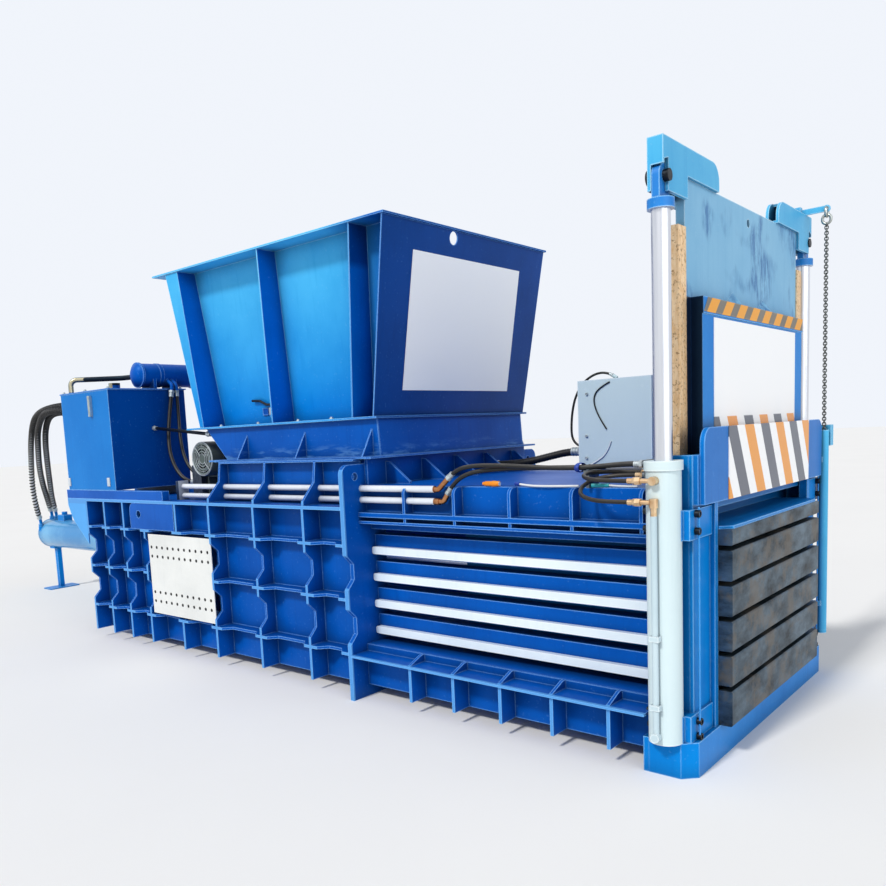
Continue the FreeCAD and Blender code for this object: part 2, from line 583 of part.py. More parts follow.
def gate_slab():
    """Gate: full-height plate with the thick door box on its lower part."""
    plate = box(PLATE_X[0], PLATE_X[1], -PLATE_HALF, PLATE_HALF, DOOR_TOP, PLATE_TOP)
    lower = box(PLATE_X[0], PLATE_X[1], -PLATE_HALF, PLATE_HALF, GATE_Z0, DOOR_TOP)
    door = box(DOOR_X[0], DOOR_X[1], -DOOR_HALF, DOOR_HALF, GATE_Z0, DOOR_TOP)
    hollow = box(DOOR_X[0] + 20, DOOR_X[1] - 20, -DOOR_HALF + 40, DOOR_HALF - 40,
                 GATE_Z0 + 40, DOOR_TOP - 30)
    ribs = [box(DOOR_X[0] + 20, DOOR_X[1] - 20, y - 10, y + 10, GATE_Z0 + 40, DOOR_TOP - 30)
            for y in (-400, 0, 400)]
    gussets = [folded_gusset(y) for y in GUSSETS]
    bar = box(DOOR_X[1], DOOR_X[1] + 5, -DOOR_HALF, DOOR_HALF, DOOR_TOP - 74, DOOR_TOP)
    gate = fuse([plate, lower, door.cut(hollow), bar] + ribs + gussets)
    return gate.cut(cyl(40, 80, (PLATE_X[0] - 10, 0, PLATE_TOP - 70), (1, 0, 0)))


def gate_sign():
    return box(DOOR_X[1], DOOR_X[1] + 2.5, -614, 614, 1380, 2048)


def guides():
    """Greased edge bars that run in the grooves of the posts."""
    bars = []
    for s in (-1, 1):
        y0, y1 = sorted((s * PLATE_HALF, s * GUIDE_OUT))
        bars.append(box(PLATE_X[0] - 6, PLATE_X[1] + 6, y0, y1, GATE_Z0, GUIDE_TOP))
    return group(bars)


def clamps_near():
    """Blocks that bolt the lift barrel to the gate post, upper and lower."""
    solids = []
    for z0, z1 in ((1073, 1206), (FLOOR_TOP, 285)):
        block = fuse([box(POST[1] - 30, POST[2], -CYL_Y, -POST_OUT, z0, z1),
                      box(POST[2], POST[3] + 12, -CYL_Y + 20, -POST_OUT, z0, z1)])
        pad = box(POST[3], POST[3] + 12, -POST_OUT, -740, z0, z1)
        block = fuse([block, pad])
        solids.append(block.cut(cyl(BARREL_D + 0.2, 400, (CYL_X, -CYL_Y, z0 - 50), (0, 0, 1))))
    return group(solids)


def oil_line_near():
    """Steel line clipped down the barrel from the lower hose fitting to the bottom port."""
    x, face = CYL_X - 6, -CYL_Y - BARREL_D / 2 - FIT
    y = face - LINE_D / 2 - 1
    line = cyl(LINE_D, 1225 - 205, (x, y, 205), (0, 0, 1))
    banjo = cyl(LINE_D + 12, 34, (x, face - 34, 205), (0, 1, 0))
    clips = [box(x - 22, x + 22, y - LINE_D / 2 - 3, face, z, z + 24) for z in (640, 330)]
    return fuse([line, banjo] + clips)


def ports_near():
    """Brass port fittings of one lift cylinder: a banjo above and an elbow on the line."""
    x, face = CYL_X - 6, -CYL_Y - BARREL_D / 2 - FIT
    top = fuse([cyl(38, 32, (x, face - 32, 1341), (0, 1, 0)),
                cyl(22, 70, (x - 78, face - 14, 1341), (1, 0, 0)),
                hexagon(32, 24, (HOSE_END_X, face - 14, 1341), (1, 0, 0))])
    low = fuse([cyl(38, 40, (x, face - LINE_D / 2 - 1, 1225), (0, 0, 1)),
                cyl(22, 70, (x - 78, face - 14, 1248), (1, 0, 0)),
                hexagon(32, 24, (HOSE_END_X, face - 14, 1248), (1, 0, 0))])
    return group([top, low.cut(cyl(BARREL_D + FIT, 200, (CYL_X, -CYL_Y, 1150), (0, 0, 1)))])


# ---- ram -----------------------------------------------------------------------------------------

RAM_X1 = RAM_FACE
RAM_X0 = RAM_FACE - RAM_LENGTH


def ram_body():
    """Hollow ram: deck, sides, sole plate, front bulkhead and two cross frames."""
    x1 = RAM_X1 - BLOCK_DEPTH
    parts = [
        box(RAM_X0, x1, -RAM_HALF, RAM_HALF, RAM_TOP - 15, RAM_TOP),
        box(RAM_X0, x1, -RAM_HALF, RAM_HALF, RAM_BOTTOM, RAM_BOTTOM + 20),
        box(RAM_X0, x1, -RAM_HALF, -RAM_HALF + 20, RAM_BOTTOM, RAM_TOP),
        box(RAM_X0, x1, RAM_HALF - 20, RAM_HALF, RAM_BOTTOM, RAM_TOP),
        box(x1 - 30, x1, -RAM_HALF, RAM_HALF, RAM_BOTTOM, RAM_TOP),
    ]
    for x in (RAM_X0 + 20, RAM_X0 + 640):
        frame = box(x, x + 20, -RAM_HALF, RAM_HALF, RAM_BOTTOM, RAM_TOP)
        parts.append(frame.cut(box(x - 1, x + 21, -560, 560, RAM_BOTTOM + 130, RAM_TOP - 130)))
    nose = plate_xy([(x1, -RAM_HALF), (RAM_X1 - 60, -RAM_HALF), (RAM_X1 - 8, -RAM_HALF + 40),
                     (RAM_X1 - 8, RAM_HALF - 40), (RAM_X1 - 60, RAM_HALF), (x1, RAM_HALF)],
                    RAM_TOP - 15, RAM_TOP)
    return fuse(parts + [nose])


def platen_blocks():
    """Six forged blocks; the grooves between them line up with the tie slots of the chamber."""
    x0 = RAM_X1 - BLOCK_DEPTH
    edges = [RAM_BOTTOM] + SLOTS + [RAM_TOP - 15]
    blocks = []
    for i, (a, b) in enumerate(zip(edges, edges[1:])):
        z0 = a + (BLOCK_GAP / 2 if i else 0)
        z1 = b - (BLOCK_GAP / 2 if i < 5 else 0)
        pts = [(x0, z0), (RAM_X1 - 6, z0), (RAM_X1, z0 + 6), (RAM_X1, z1 - 6), (RAM_X1 - 6, z1), (x0, z1)]
        blocks.append(plate_xz(pts, -RAM_HALF, RAM_HALF))
    return group(blocks)


def main_rod():
    x1 = RAM_X1 - BLOCK_DEPTH - 30
    x0 = REAR_END + 115 + STROKE
    rod = cyl(MAIN_ROD, x1 - 40 - x0, (x0, 0, MAIN_Z), (1, 0, 0))
    piston = cyl(MAIN_BORE - 0.1, 150, (x0, 0, MAIN_Z), (1, 0, 0))
    flange = cyl(360, 40, (x1 - 40, 0, MAIN_Z), (1, 0, 0))
    return fuse([rod, piston, flange])


# ---- main cylinder -------------------------------------------------------------------------------

def main_barrel():
    x0 = REAR_END + 12
    tube = ring(MAIN_D, MAIN_BORE, MAIN_FRONT - 60 - x0, (x0, 0, MAIN_Z), (1, 0, 0))
    cap = cyl(MAIN_BORE, 80, (x0, 0, MAIN_Z), (1, 0, 0))
    return fuse([tube, cap])


def main_gland():
    body = cyl(MAIN_D + 16, 60, (MAIN_FRONT - 60, 0, MAIN_Z), (1, 0, 0))
    return body.cut(cyl(MAIN_ROD + 0.1, 60, (MAIN_FRONT - 60, 0, MAIN_Z), (1, 0, 0)))


def rear_cap():
    """Rear cap disc with its bolt circle and the flange collar at the bulkhead."""
    cap = cyl(MAIN_D + 8, 12, (REAR_END, 0, MAIN_Z), (1, 0, 0))
    return cap


def mount_flange():
    x, bolts = REAR_X - 40, MAIN_D / 2 + 45
    flange = ring(2 * bolts + 70, MAIN_D + FIT, 50, (x - 50, 0, MAIN_Z), (1, 0, 0))
    heads = []
    for i in range(12):
        a = math.radians(30 * i + 15)
        y, z = bolts * math.cos(a), MAIN_Z + bolts * math.sin(a)
        heads.append(hexagon(41, 20, (x - 50, y, z), (-1, 0, 0)))
    return fuse([flange] + heads)


def port_block():
    """Valve block on top of the barrel, and the three ports whose elbows lean toward the tank."""
    top, skin = MAIN_Z + MAIN_D / 2, cyl(MAIN_D + FIT, -REAR_END, (REAR_END, 0, MAIN_Z), (1, 0, 0))
    body = fuse([box(VALVE_X - 70, VALVE_X + 70, -50, 50, top - 40, top + 60),
                 cyl(60, 34, (VALVE_X, 0, top + 60), (0, 0, 1))])
    ports = []
    for x, y in PORTS:
        z = MAIN_Z + math.sqrt((MAIN_D / 2) ** 2 - y * y)
        boss = fuse([cyl(56, 60, (x, y, z - 48), (0, 0, 1)), hexagon(46, 24, (x, y, z + 12), (0, 0, 1))])
        elbow = tube_along([(x, y, z + 36), (x, y, z + 62), (x + 28, y - 22, z + 106)], PORT_D)
        ports.append(fuse([boss.cut(skin), elbow]))
    return group([body.cut(skin)] + ports)


def t_stand():
    x, under = REAR_END + 110, MAIN_Z - MAIN_D / 2 - 12
    base = plate_xy([(x - 95, -175), (x + 95, -175), (x + 95, 175), (x - 95, 175)], 0, 12,
                    {0: 20, 1: 20, 2: 20, 3: 20})
    post = box(x - 27, x + 27, -27, 27, 12, under)
    saddle = box(x - 50, x + 50, -70, 70, under, MAIN_Z - 132)
    shape = fuse([base, post, saddle])
    return shape.cut(cyl(MAIN_D + FIT, 300, (x - 150, 0, MAIN_Z), (1, 0, 0)))


# ---- hopper --------------------------------------------------------------------------------------

def hopper_rib(top, low, x_top, x_low):
    """Deep stiffener standing on the recessed side wall, out to the corner line (near side)."""
    z0, z1 = HOP_Z
    return slab([(x_low, -low[3], z0), (x_low, -low[2], z0), (x_top, -top[2], z1), (x_top, -top[3], z1)],
                (10, 0, 0))


def hopper_shell():
    """Flared hopper: end plates as wide as the ribs, recessed side walls, rim and foot flanges."""
    z0, z1 = HOP_Z
    t, b = HOP_TOP, HOP_BOT

    def end_plate(x_top, x_low, depth):
        quad = [(x_low, -b[2], z0), (x_low, b[2], z0), (x_top, t[2], z1), (x_top, -t[2], z1)]
        return slab(quad, (depth, 0, 0))
    front = end_plate(t[1], b[1], -SHEET)
    front = front.cut(cyl(HOP_HOLE[2], 300, (t[1] - 200, HOP_HOLE[0], HOP_HOLE[1]), (1, 0, 0)))
    wall = slab([(b[0] + SHEET, -b[3], z0), (b[1] - SHEET, -b[3], z0), (t[1] - SHEET, -t[3], z1),
                 (t[0] + SHEET, -t[3], z1)], (0, SHEET, 0))
    ribs = [hopper_rib(t, b, top, low) for top, low in HOP_RIBS]
    (top, low) = HOP_RIBS[0]
    corner = slab([(b[0] + SHEET, -b[2], z0), (low, -b[2], z0), (top, -t[2], z1), (t[0] + SHEET, -t[2], z1)],
                  (0, 6, 0))
    rim = [box(RIM_REAR, t[1] + RIM_OVER, -t[2] - 10, -t[3] + SHEET, z1, RIM_Z)]
    foot = [box(232, 2175, -822, -b[3] + SHEET, z0 - SKIN, z0)]
    near = [wall, corner] + ribs + rim + foot
    across = [
        box(RIM_REAR, t[0] + SHEET, -t[3] + SHEET, t[3] - SHEET, z1, RIM_Z),
        box(t[1] - SHEET, t[1] + RIM_OVER, -t[3] + SHEET, t[3] - SHEET, z1, RIM_Z),
        box(232, b[0] + SHEET, -b[3] + SHEET, b[3] - SHEET, z0 - SKIN, z0),
        box(b[1] - SHEET, 2175, -b[3] + SHEET, b[3] - SHEET, z0 - SKIN, z0),
    ]
    return group([front, end_plate(t[0], b[0], SHEET)] + across + near + [mirror(part) for part in near])


def hopper_base():
    """Base box between hopper and feed walls with a sloping rear wall."""
    z0, z1 = BOX_Z
    h = 785.0
    outer = plate_xz([(652, z0), (2160, z0), (2146, z1), (430, z1)], -h, h)
    inner = plate_xz([(664, z0 - 1), (2150, z0 - 1), (2136, z1 + 1), (442, z1 + 1)], -h + SHEET, h - SHEET)
    flange = box(600, 2190, -FEED_WALL - 40, FEED_WALL + 40, FEED_TOP + SKIN, z0)
    well = box(668, 2146, -h + SHEET, h - SHEET, FEED_TOP, z0 + 1)
    sides = [box(0, 3000, -h - 99, -h + SHEET, 0, 3000), box(0, 3000, h - SHEET, h + 99, 0, 3000)]
    half = box(0, 1400, -h, h, 0, 3000)
    walls = parted(outer.cut(inner), sides + [half])
    strips = parted(flange.cut(well), [box(0, 668, -2000, 2000, 0, 3000),
                                       box(2146, 3000, -2000, 2000, 0, 3000),
                                       box(0, 3000, -2000, 0, 0, 3000)])
    ribs = [plate_yz([(s * h, z0), (s * (h + 100), z0), (s * h, z1 - 60)], x - 5, x + 5)
            for s in (-1, 1) for x in (900, 1500, 2100)]
    return group(walls + strips + ribs)


def hopper_sign():
    """Sign plate on the sloping front face of the hopper."""
    (x0, x1), (z0, z1) = (HOP_BOT[1], HOP_TOP[1]), HOP_Z
    slope = (x1 - x0) / (z1 - z0)
    def at(z):
        return x0 + 0.3 + slope * (z - z0)
    return plate_xz([(at(1855), 1855), (at(1855) + 3, 1855), (at(2670) + 3, 2670), (at(2670), 2670)],
                    -570, 570)


def latch_bracket():
    x, z = 1085.0, 1800.0
    part = (z - HOP_Z[0]) / (HOP_Z[1] - HOP_Z[0])
    y = -HOP_BOT[3] - (HOP_TOP[3] - HOP_BOT[3]) * part
    plate = box(x - 70, x + 70, y - 34, y + 8, z - 52, z - 40)
    cheeks = [plate_yz([(y + 6, z - 40), (y - 34, z - 40), (y - 34, z + 10), (y + 2, z + 50)],
                       x + d, x + d + 10)
              for d in (-60, 50)]
    wall = slab([(x - 99, -HOP_BOT[3], HOP_Z[0]), (x + 99, -HOP_BOT[3], HOP_Z[0]),
                 (x + 99, -HOP_TOP[3], HOP_Z[1]), (x - 99, -HOP_TOP[3], HOP_Z[1])], (0, 99, 0))
    return fuse([plate] + cheeks).cut(wall)


# ---- power unit ----------------------------------------------------------------------------------

def tank_skid():
    rails = [box(TAIL_X, x, y, y + 60, DECK_TOP, TANK[4]) for x, y in ((200, -RIB_OUT), (60, -420.0))]
    return group(rails)


def tank_body():
    x0, x1, y0, y1, z0, z1 = TANK
    shell = box(x0, x1, y0, y1, z0, z1).cut(box(x0 + 6, x1 - 6, y0 + 6, y1 - 6, z0 + 8, z1))
    return shell


def tank_lid():
    x0, x1, y0, y1, z0, z1 = TANK
    lid = box(x0 - 12, x1 + 12, y0 - 3, y1 + 12, z1, z1 + 10)
    return lid


def level_gauge():
    x, y = -716.0, TANK[2]
    body = box(x - 16, x + 16, y - 22, y, 1842, 2006)
    bosses = [cyl(30, 24, (x, y - 24, z), (0, 1, 0)) for z in (1856, 1992)]
    return fuse([body] + bosses)


def breather():
    x, y, z = -1090.0, -620.0, TANK[5] + 10
    return fuse([cyl(60, 30, (x, y, z), (0, 0, 1)), cyl(96, 60, (x, y, z + 30), (0, 0, 1))])


def filter_drum():
    """Suction and return drum lying across the tank lid: domed near end, two swept hose elbows."""
    (x, z), (y0, y1), r = DRUM_AT, DRUM_Y, DRUM_D / 2
    drum = cyl(DRUM_D, y1 - y0, (x, y0, z), (0, 1, 0))
    ends = [cyl(DRUM_D + 16, 16, (x, y, z), (0, 1, 0)) for y in (y0 - 16, y1)]
    bulge = r / math.sin(math.radians(50))
    dome = Part.makeSphere(bulge, v(x, y0 - 16 + bulge * math.cos(math.radians(50)), z))
    dome = dome.common(cyl(DRUM_D, bulge, (x, y0 - 16 - bulge, z), (0, 1, 0)))
    elbows = [tube_along([(x + 0.79 * r, y + lean, z - 0.46 * r),
                          (DRUM_ELBOW_X - 1.5, y + lean, DRUM_ELBOW_Z + 48.6),
                          (DRUM_ELBOW_X, y, DRUM_ELBOW_Z)], 30) for y, lean in DRUM_ELBOWS]
    return fuse([drum, dome] + ends + elbows)


def drum_saddles():
    x, z = DRUM_AT
    solids = []
    for y in (-610, -420):
        block = box(x - 90, x + 90, y - 14, y + 14, TANK[5] + 10, z - 30)
        solids.append(block.cut(cyl(DRUM_D + FIT, 60, (x, y - 30, z), (0, 1, 0))))
    return group(solids)


def drum_strap():
    return ring(DRUM_D + 8, DRUM_D + FIT, 34, (DRUM_AT[0], -553, DRUM_AT[1]), (0, 1, 0))


def lid_pipe():
    """Return pipe from the lid to the rear side of the drum."""
    (x, z), y, base, to = DRUM_AT, -985.0, TANK[5] + 10, DRUM_Y[0] + 42
    return tube_along([(-1150, y, base), (-1150, y, z), (-850, to, z), (x - DRUM_D / 2 - 0.3, to, z)], 42)


def motor_body():
    y0, y1 = MOTOR_Y
    core = ring(MOTOR_D - 24, 150, y1 - y0 - 120, (MOTOR_X, y0 + 120, MOTOR_Z), (0, 1, 0))
    fins = []
    for i in range(16):
        a = 360.0 / 16 * i
        fin = box(MOTOR_X - 3, MOTOR_X + 3, y0 + 125, y1 - 50,
                  MOTOR_Z + MOTOR_D / 2 - 18, MOTOR_Z + MOTOR_D / 2)
        fin.rotate(v(MOTOR_X, 0, MOTOR_Z), v(0, 1, 0), a)
        fins.append(fin)
    rear = ring(MOTOR_D - 10, SHAFT_D + 0.1, 14, (MOTOR_X, y0 + 106, MOTOR_Z), (0, 1, 0))
    front = ring(MOTOR_D + 20, SHAFT_D + 0.1, 16, (MOTOR_X, y1 - 16, MOTOR_Z), (0, 1, 0))
    feet = [box(MOTOR_X + dx - 22, MOTOR_X + dx + 22, y0 + 150, y1 - 60, MOTOR_Z - 132, MOTOR_Z - 75)
            for dx in (-86, 86)]
    box_top = box(MOTOR_X - 30, MOTOR_X + 90, y0 + 170, y0 + 300, MOTOR_Z + 100, MOTOR_Z + 172)
    body = fuse([core, rear, front] + fins + feet)
    return fuse([body, box_top.cut(cyl(MOTOR_D - 24, 400, (MOTOR_X, y0 + 110, MOTOR_Z), (0, 1, 0)))])


def fan_cover():
    """Fan cowl with an open grille facing outward."""
    y0 = MOTOR_Y[0]
    cowl = ring(MOTOR_D + 12, MOTOR_D + 4, 106, (MOTOR_X, y0, MOTOR_Z), (0, 1, 0))
    front = cyl(MOTOR_D + 12, 4, (MOTOR_X, y0, MOTOR_Z), (0, 1, 0))
    cuts = []
    for r_in, r_out in ((34, 52), (62, 80), (90, 108)):
        band = ring(2 * r_out, 2 * r_in, 10, (MOTOR_X, y0 - 3, MOTOR_Z), (0, 1, 0))
        cuts.append(band)
    spokes = []
    for i in range(6):
        spoke = box(MOTOR_X - 5, MOTOR_X + 5, y0 - 4, y0 + 8, MOTOR_Z, MOTOR_Z + 116)
        spoke.rotate(v(MOTOR_X, 0, MOTOR_Z), v(0, 1, 0), 60.0 * i)
        spokes.append(spoke)
    openings = fuse(cuts[:1]).multiFuse(cuts[1:]).cut(group(spokes))
    back = ring(MOTOR_D + 12, MOTOR_D - 10 + FIT, 4, (MOTOR_X, y0 + 102, MOTOR_Z), (0, 1, 0))
    return fuse([cowl, front.cut(openings), back])


def motor_rotor():
    """Shaft with rotor core, cooling fan and coupling hub."""
    y0, y1 = MOTOR_Y
    shaft = cyl(SHAFT_D, y1 + 62 - (y0 + 14), (MOTOR_X, y0 + 14, MOTOR_Z), (0, 1, 0))
    core = cyl(140, y1 - y0 - 200, (MOTOR_X, y0 + 140, MOTOR_Z), (0, 1, 0))
    hub = cyl(64, 40, (MOTOR_X, y0 + 30, MOTOR_Z), (0, 1, 0))
    disc = cyl(190, 4, (MOTOR_X, y0 + 66, MOTOR_Z), (0, 1, 0))
    blades = []
    for i in range(7):
        blade = box(MOTOR_X - 2, MOTOR_X + 2, y0 + 30, y0 + 66, MOTOR_Z + 28, MOTOR_Z + 94)
        blade.rotate(v(MOTOR_X, 0, MOTOR_Z), v(0, 1, 0), 360.0 / 7 * i)
        blades.append(blade)
    coupling = cyl(86, 42, (MOTOR_X, y1 + 18, MOTOR_Z), (0, 1, 0))
    return fuse([shaft, core, hub, disc, coupling] + blades)


def bell_housing():
    """Bell housing between motor and pump with an inspection window."""
    y1 = MOTOR_Y[1]
    bell = ring(MOTOR_D + 20, 190, 74, (MOTOR_X, y1, MOTOR_Z), (0, 1, 0))
    back = cyl(MOTOR_D + 20, 16, (MOTOR_X, y1 + 74, MOTOR_Z), (0, 1, 0))
    window = box(MOTOR_X - 45, MOTOR_X + 45, y1 + 14, y1 + 60, MOTOR_Z + 60, MOTOR_Z + 160)
    return fuse([bell, back]).cut(window)


def pump():
    y = MOTOR_Y[1] + 90
    body = fuse([cyl(150, 190, (MOTOR_X, y, MOTOR_Z), (0, 1, 0)),
                 box(MOTOR_X - 60, MOTOR_X + 60, y + 40, y + 150, MOTOR_Z - 95, MOTOR_Z + 95)])
    return body


def motor_stand():
    y0, y1 = MOTOR_Y
    top = MOTOR_Z - 132
    return box(MOTOR_X - 130, MOTOR_X + 130, y0 + 130, y1 - 40, DECK_TOP, top).cut(
        box(MOTOR_X - 118, MOTOR_X + 118, y0 + 100, y1, DECK_TOP, top - 14))


def manifold():
    """Valve manifold on the deck behind the fan cowl."""
    x, y = 38.0, -540.0
    block = box(x - 58, x + 58, y - 90, y + 90, DECK_TOP, DECK_TOP + 240)
    valves = [box(x - 40, x + 40, y - 80 + 58 * i, y - 36 + 58 * i, DECK_TOP + 240, DECK_TOP + 285)
              for i in range(3)]
    return fuse([block] + valves)


def pipe_stubs():
    """Collars at the rear ends of the two long pipes, on one bracket plate."""
    x = PIPE_X[0]
    bracket = box(x - 36, x, PIPE_Y - 42, PIPE_Y + 42, DECK_TOP, PIPE_Z[0] + 42)
    return bracket


def pipes():
    return group([cyl(PIPE_D, PIPE_X[1] - PIPE_X[0] + 30 * i, (PIPE_X[0], PIPE_Y, z), (1, 0, 0))
                  for i, z in enumerate(PIPE_Z)])


CONDUIT_END = (2993.2, 600.0, 1899.9)


def cabinet_body():
    """Electrical cabinet: open box standing on two rails on the chamber roof."""
    x0, x1, y0, y1, z0, z1 = 2800.0, 3312.0, 470.0, 716.0, 1330.0, 1876.0
    shell = box(x0, x1, y0, y1, z0, z1).cut(box(x0 + 3, x1 - 3, y0 + 3, y1, z0 + 3, z1 - 3))
    legs = [box(x, x + 50, y0, y1, TOP_Z, z0) for x in (x0 + 20, x1 - 70)]
    plate = box(x0 + 30, x1 - 30, y0 + 12, y0 + 16, z0 + 30, z1 - 30)
    studs = [cyl(12, 9, (x, y0 + 3, z), (0, 1, 0)) for x in (x0 + 60, x1 - 60) for z in (z0 + 60, z1 - 60)]
    gland = cyl(24, 30, CONDUIT_END, (0.819, 0, -0.574))
    return fuse([shell, plate, gland] + legs + studs)


def cabinet_door():
    x0, x1, y1, z0, z1 = 2800.0, 3312.0, 716.0, 1330.0, 1876.0
    door = box(x0, x1, y1 + 1, y1 + 5, z0, z1)
    handle = box(x1 - 52, x1 - 32, y1 + 5, y1 + 28, (z0 + z1) / 2 - 60, (z0 + z1) / 2 + 60)
    knuckles = [cyl(16, 60, (x0 - 8, y1 + 3, z), (0, 0, 1)) for z in (z0 + 60, z1 - 120)]
    return fuse([door, handle] + knuckles)


def hinge_leaves():
    x0, y1, z0, z1 = 2800.0, 716.0, 1330.0, 1876.0
    leaves = []
    for z in (z0 + 60, z1 - 120):
        for zz in (z - 30, z + 60.3):
            leaf = fuse([cyl(16, 29.7, (x0 - 8, y1 + 3, zz), (0, 0, 1)),
                         box(x0 - 3, x0, y1 - 40, y1, zz, zz + 29.7),
                         box(x0 - 8, x0, y1 - 6, y1, zz, zz + 29.7)])
            leaves.append(leaf)
    return group(leaves)


CHAIN_AT = (4172.0, 962.0)
CHAIN_PITCH, CHAIN_W, WIRE, CHAIN_LINKS = 48.0, 36.0, 11.0, 30
LUG_Z = EAR_TOP + 17       # eye of the chain arm


def chain_tube():
    """Tube beside the far post that receives the hanging chain, with its switch box."""
    x, y = CHAIN_AT
    tube = ring(54, 46, 1490 - 270, (x, y, 270), (0, 0, 1))
    foot = cyl(54, 20, (x, y, 250), (0, 0, 1))
    brackets = [box(POST[2], x, POST_OUT, y - 16, z, z + 30) for z in (420, 1300)]
    shape = fuse([tube, foot] + brackets)
    return shape.cut(cyl(46, 1300, (x, y, 270), (0, 0, 1)))


def switch_box():
    x, y = CHAIN_AT
    return box(x - 26, x + 32, y + 27, y + 80, 1395, 1520)


def chain_arm():
    """Arm welded on the far ear; its end lug holds the chain over the tube."""
    x, y = CHAIN_AT
    arm = box(EAR_X[0] - 14, x, y - 7, y + 7, EAR_TOP, EAR_TOP + 34)
    foot = box(EAR_X[0] - 14, EAR_X[0] + 40, y - 20, y + 20, EAR_TOP, EAR_TOP + 50)
    shape = fuse([arm, foot, cyl(40, 14, (x, y - 7, EAR_TOP + 17), (0, 1, 0))])
    return shape.cut(cyl(22, 20, (x, y - 10, EAR_TOP + 17), (0, 1, 0)))


def chain_link(z, turned):
    """One link, a rounded ring standing on end; every second one is turned a quarter."""
    x, y = CHAIN_AT
    half, low = CHAIN_W / 2, z - CHAIN_PITCH - 2 * WIRE

    def loop(grow, corner):
        h = half - grow
        pts = [(x - h, low + grow), (x + h, low + grow), (x + h, z - grow), (x - h, z - grow)]
        return plate_xz(pts, y - WIRE / 2, y + WIRE / 2, {i: corner for i in range(4)})
    link = loop(0, half - 1).cut(loop(WIRE, 1.0))
    if turned:
        link.rotate(v(x, y, 0), v(0, 0, 1), 90)
    return link


def hang_chain():
    """Shackle ring through the arm lug and the hanging links below it."""
    x, y = CHAIN_AT
    z = LUG_Z - 21.3
    shackle = ring(62, 40, 9, (x - 4.5, y, z), (1, 0, 0))
    top = z - 20 + WIRE + 1.1
    links = [chain_link(top - (CHAIN_PITCH - 0.3) * i, i % 2 == 1) for i in range(CHAIN_LINKS)]
    return group([shackle] + links)


RACK = (3598.0, 1373.7)    # place and top of the shelf that carries the gate hoses


def hose_rack():
    """Shelf bracket under the two gate hoses."""
    x, z = RACK
    post = box(x - 8, x + 8, -890, -790, TOP_Z, z - 6)
    shelf = box(x - 22, x + 22, -890, -790, z - 10, z)
    return fuse([post, shelf])


def branch_block():
    """Branch block on the rear tie plate with a stub for each hose."""
    block = box(3880, POST[0], -880, -740, 1330, 1420)
    stubs = [cyl(30, 20, (BLOCK_X, y, z), (1, 0, 0))
             for y, z in ((-850, 1400), (-780, 1400), (-850, 1350), (-780, 1360))]
    return fuse([block] + stubs)


def far_lines():
    """Two steel lines that cross the roof from the branch block to the far lift cylinder."""
    face = CYL_Y + BARREL_D / 2 + FIT
    routes = [[(3915, -740, z), (3915, 880, z), (3915, face + 14, z - 60), (3915, face + 14, zz),
               (HOSE_END_X, face + 14, zz)]
              for z, zz in ((1403, 1341),)]
    return group([tube_along(r, 18) for r in routes])


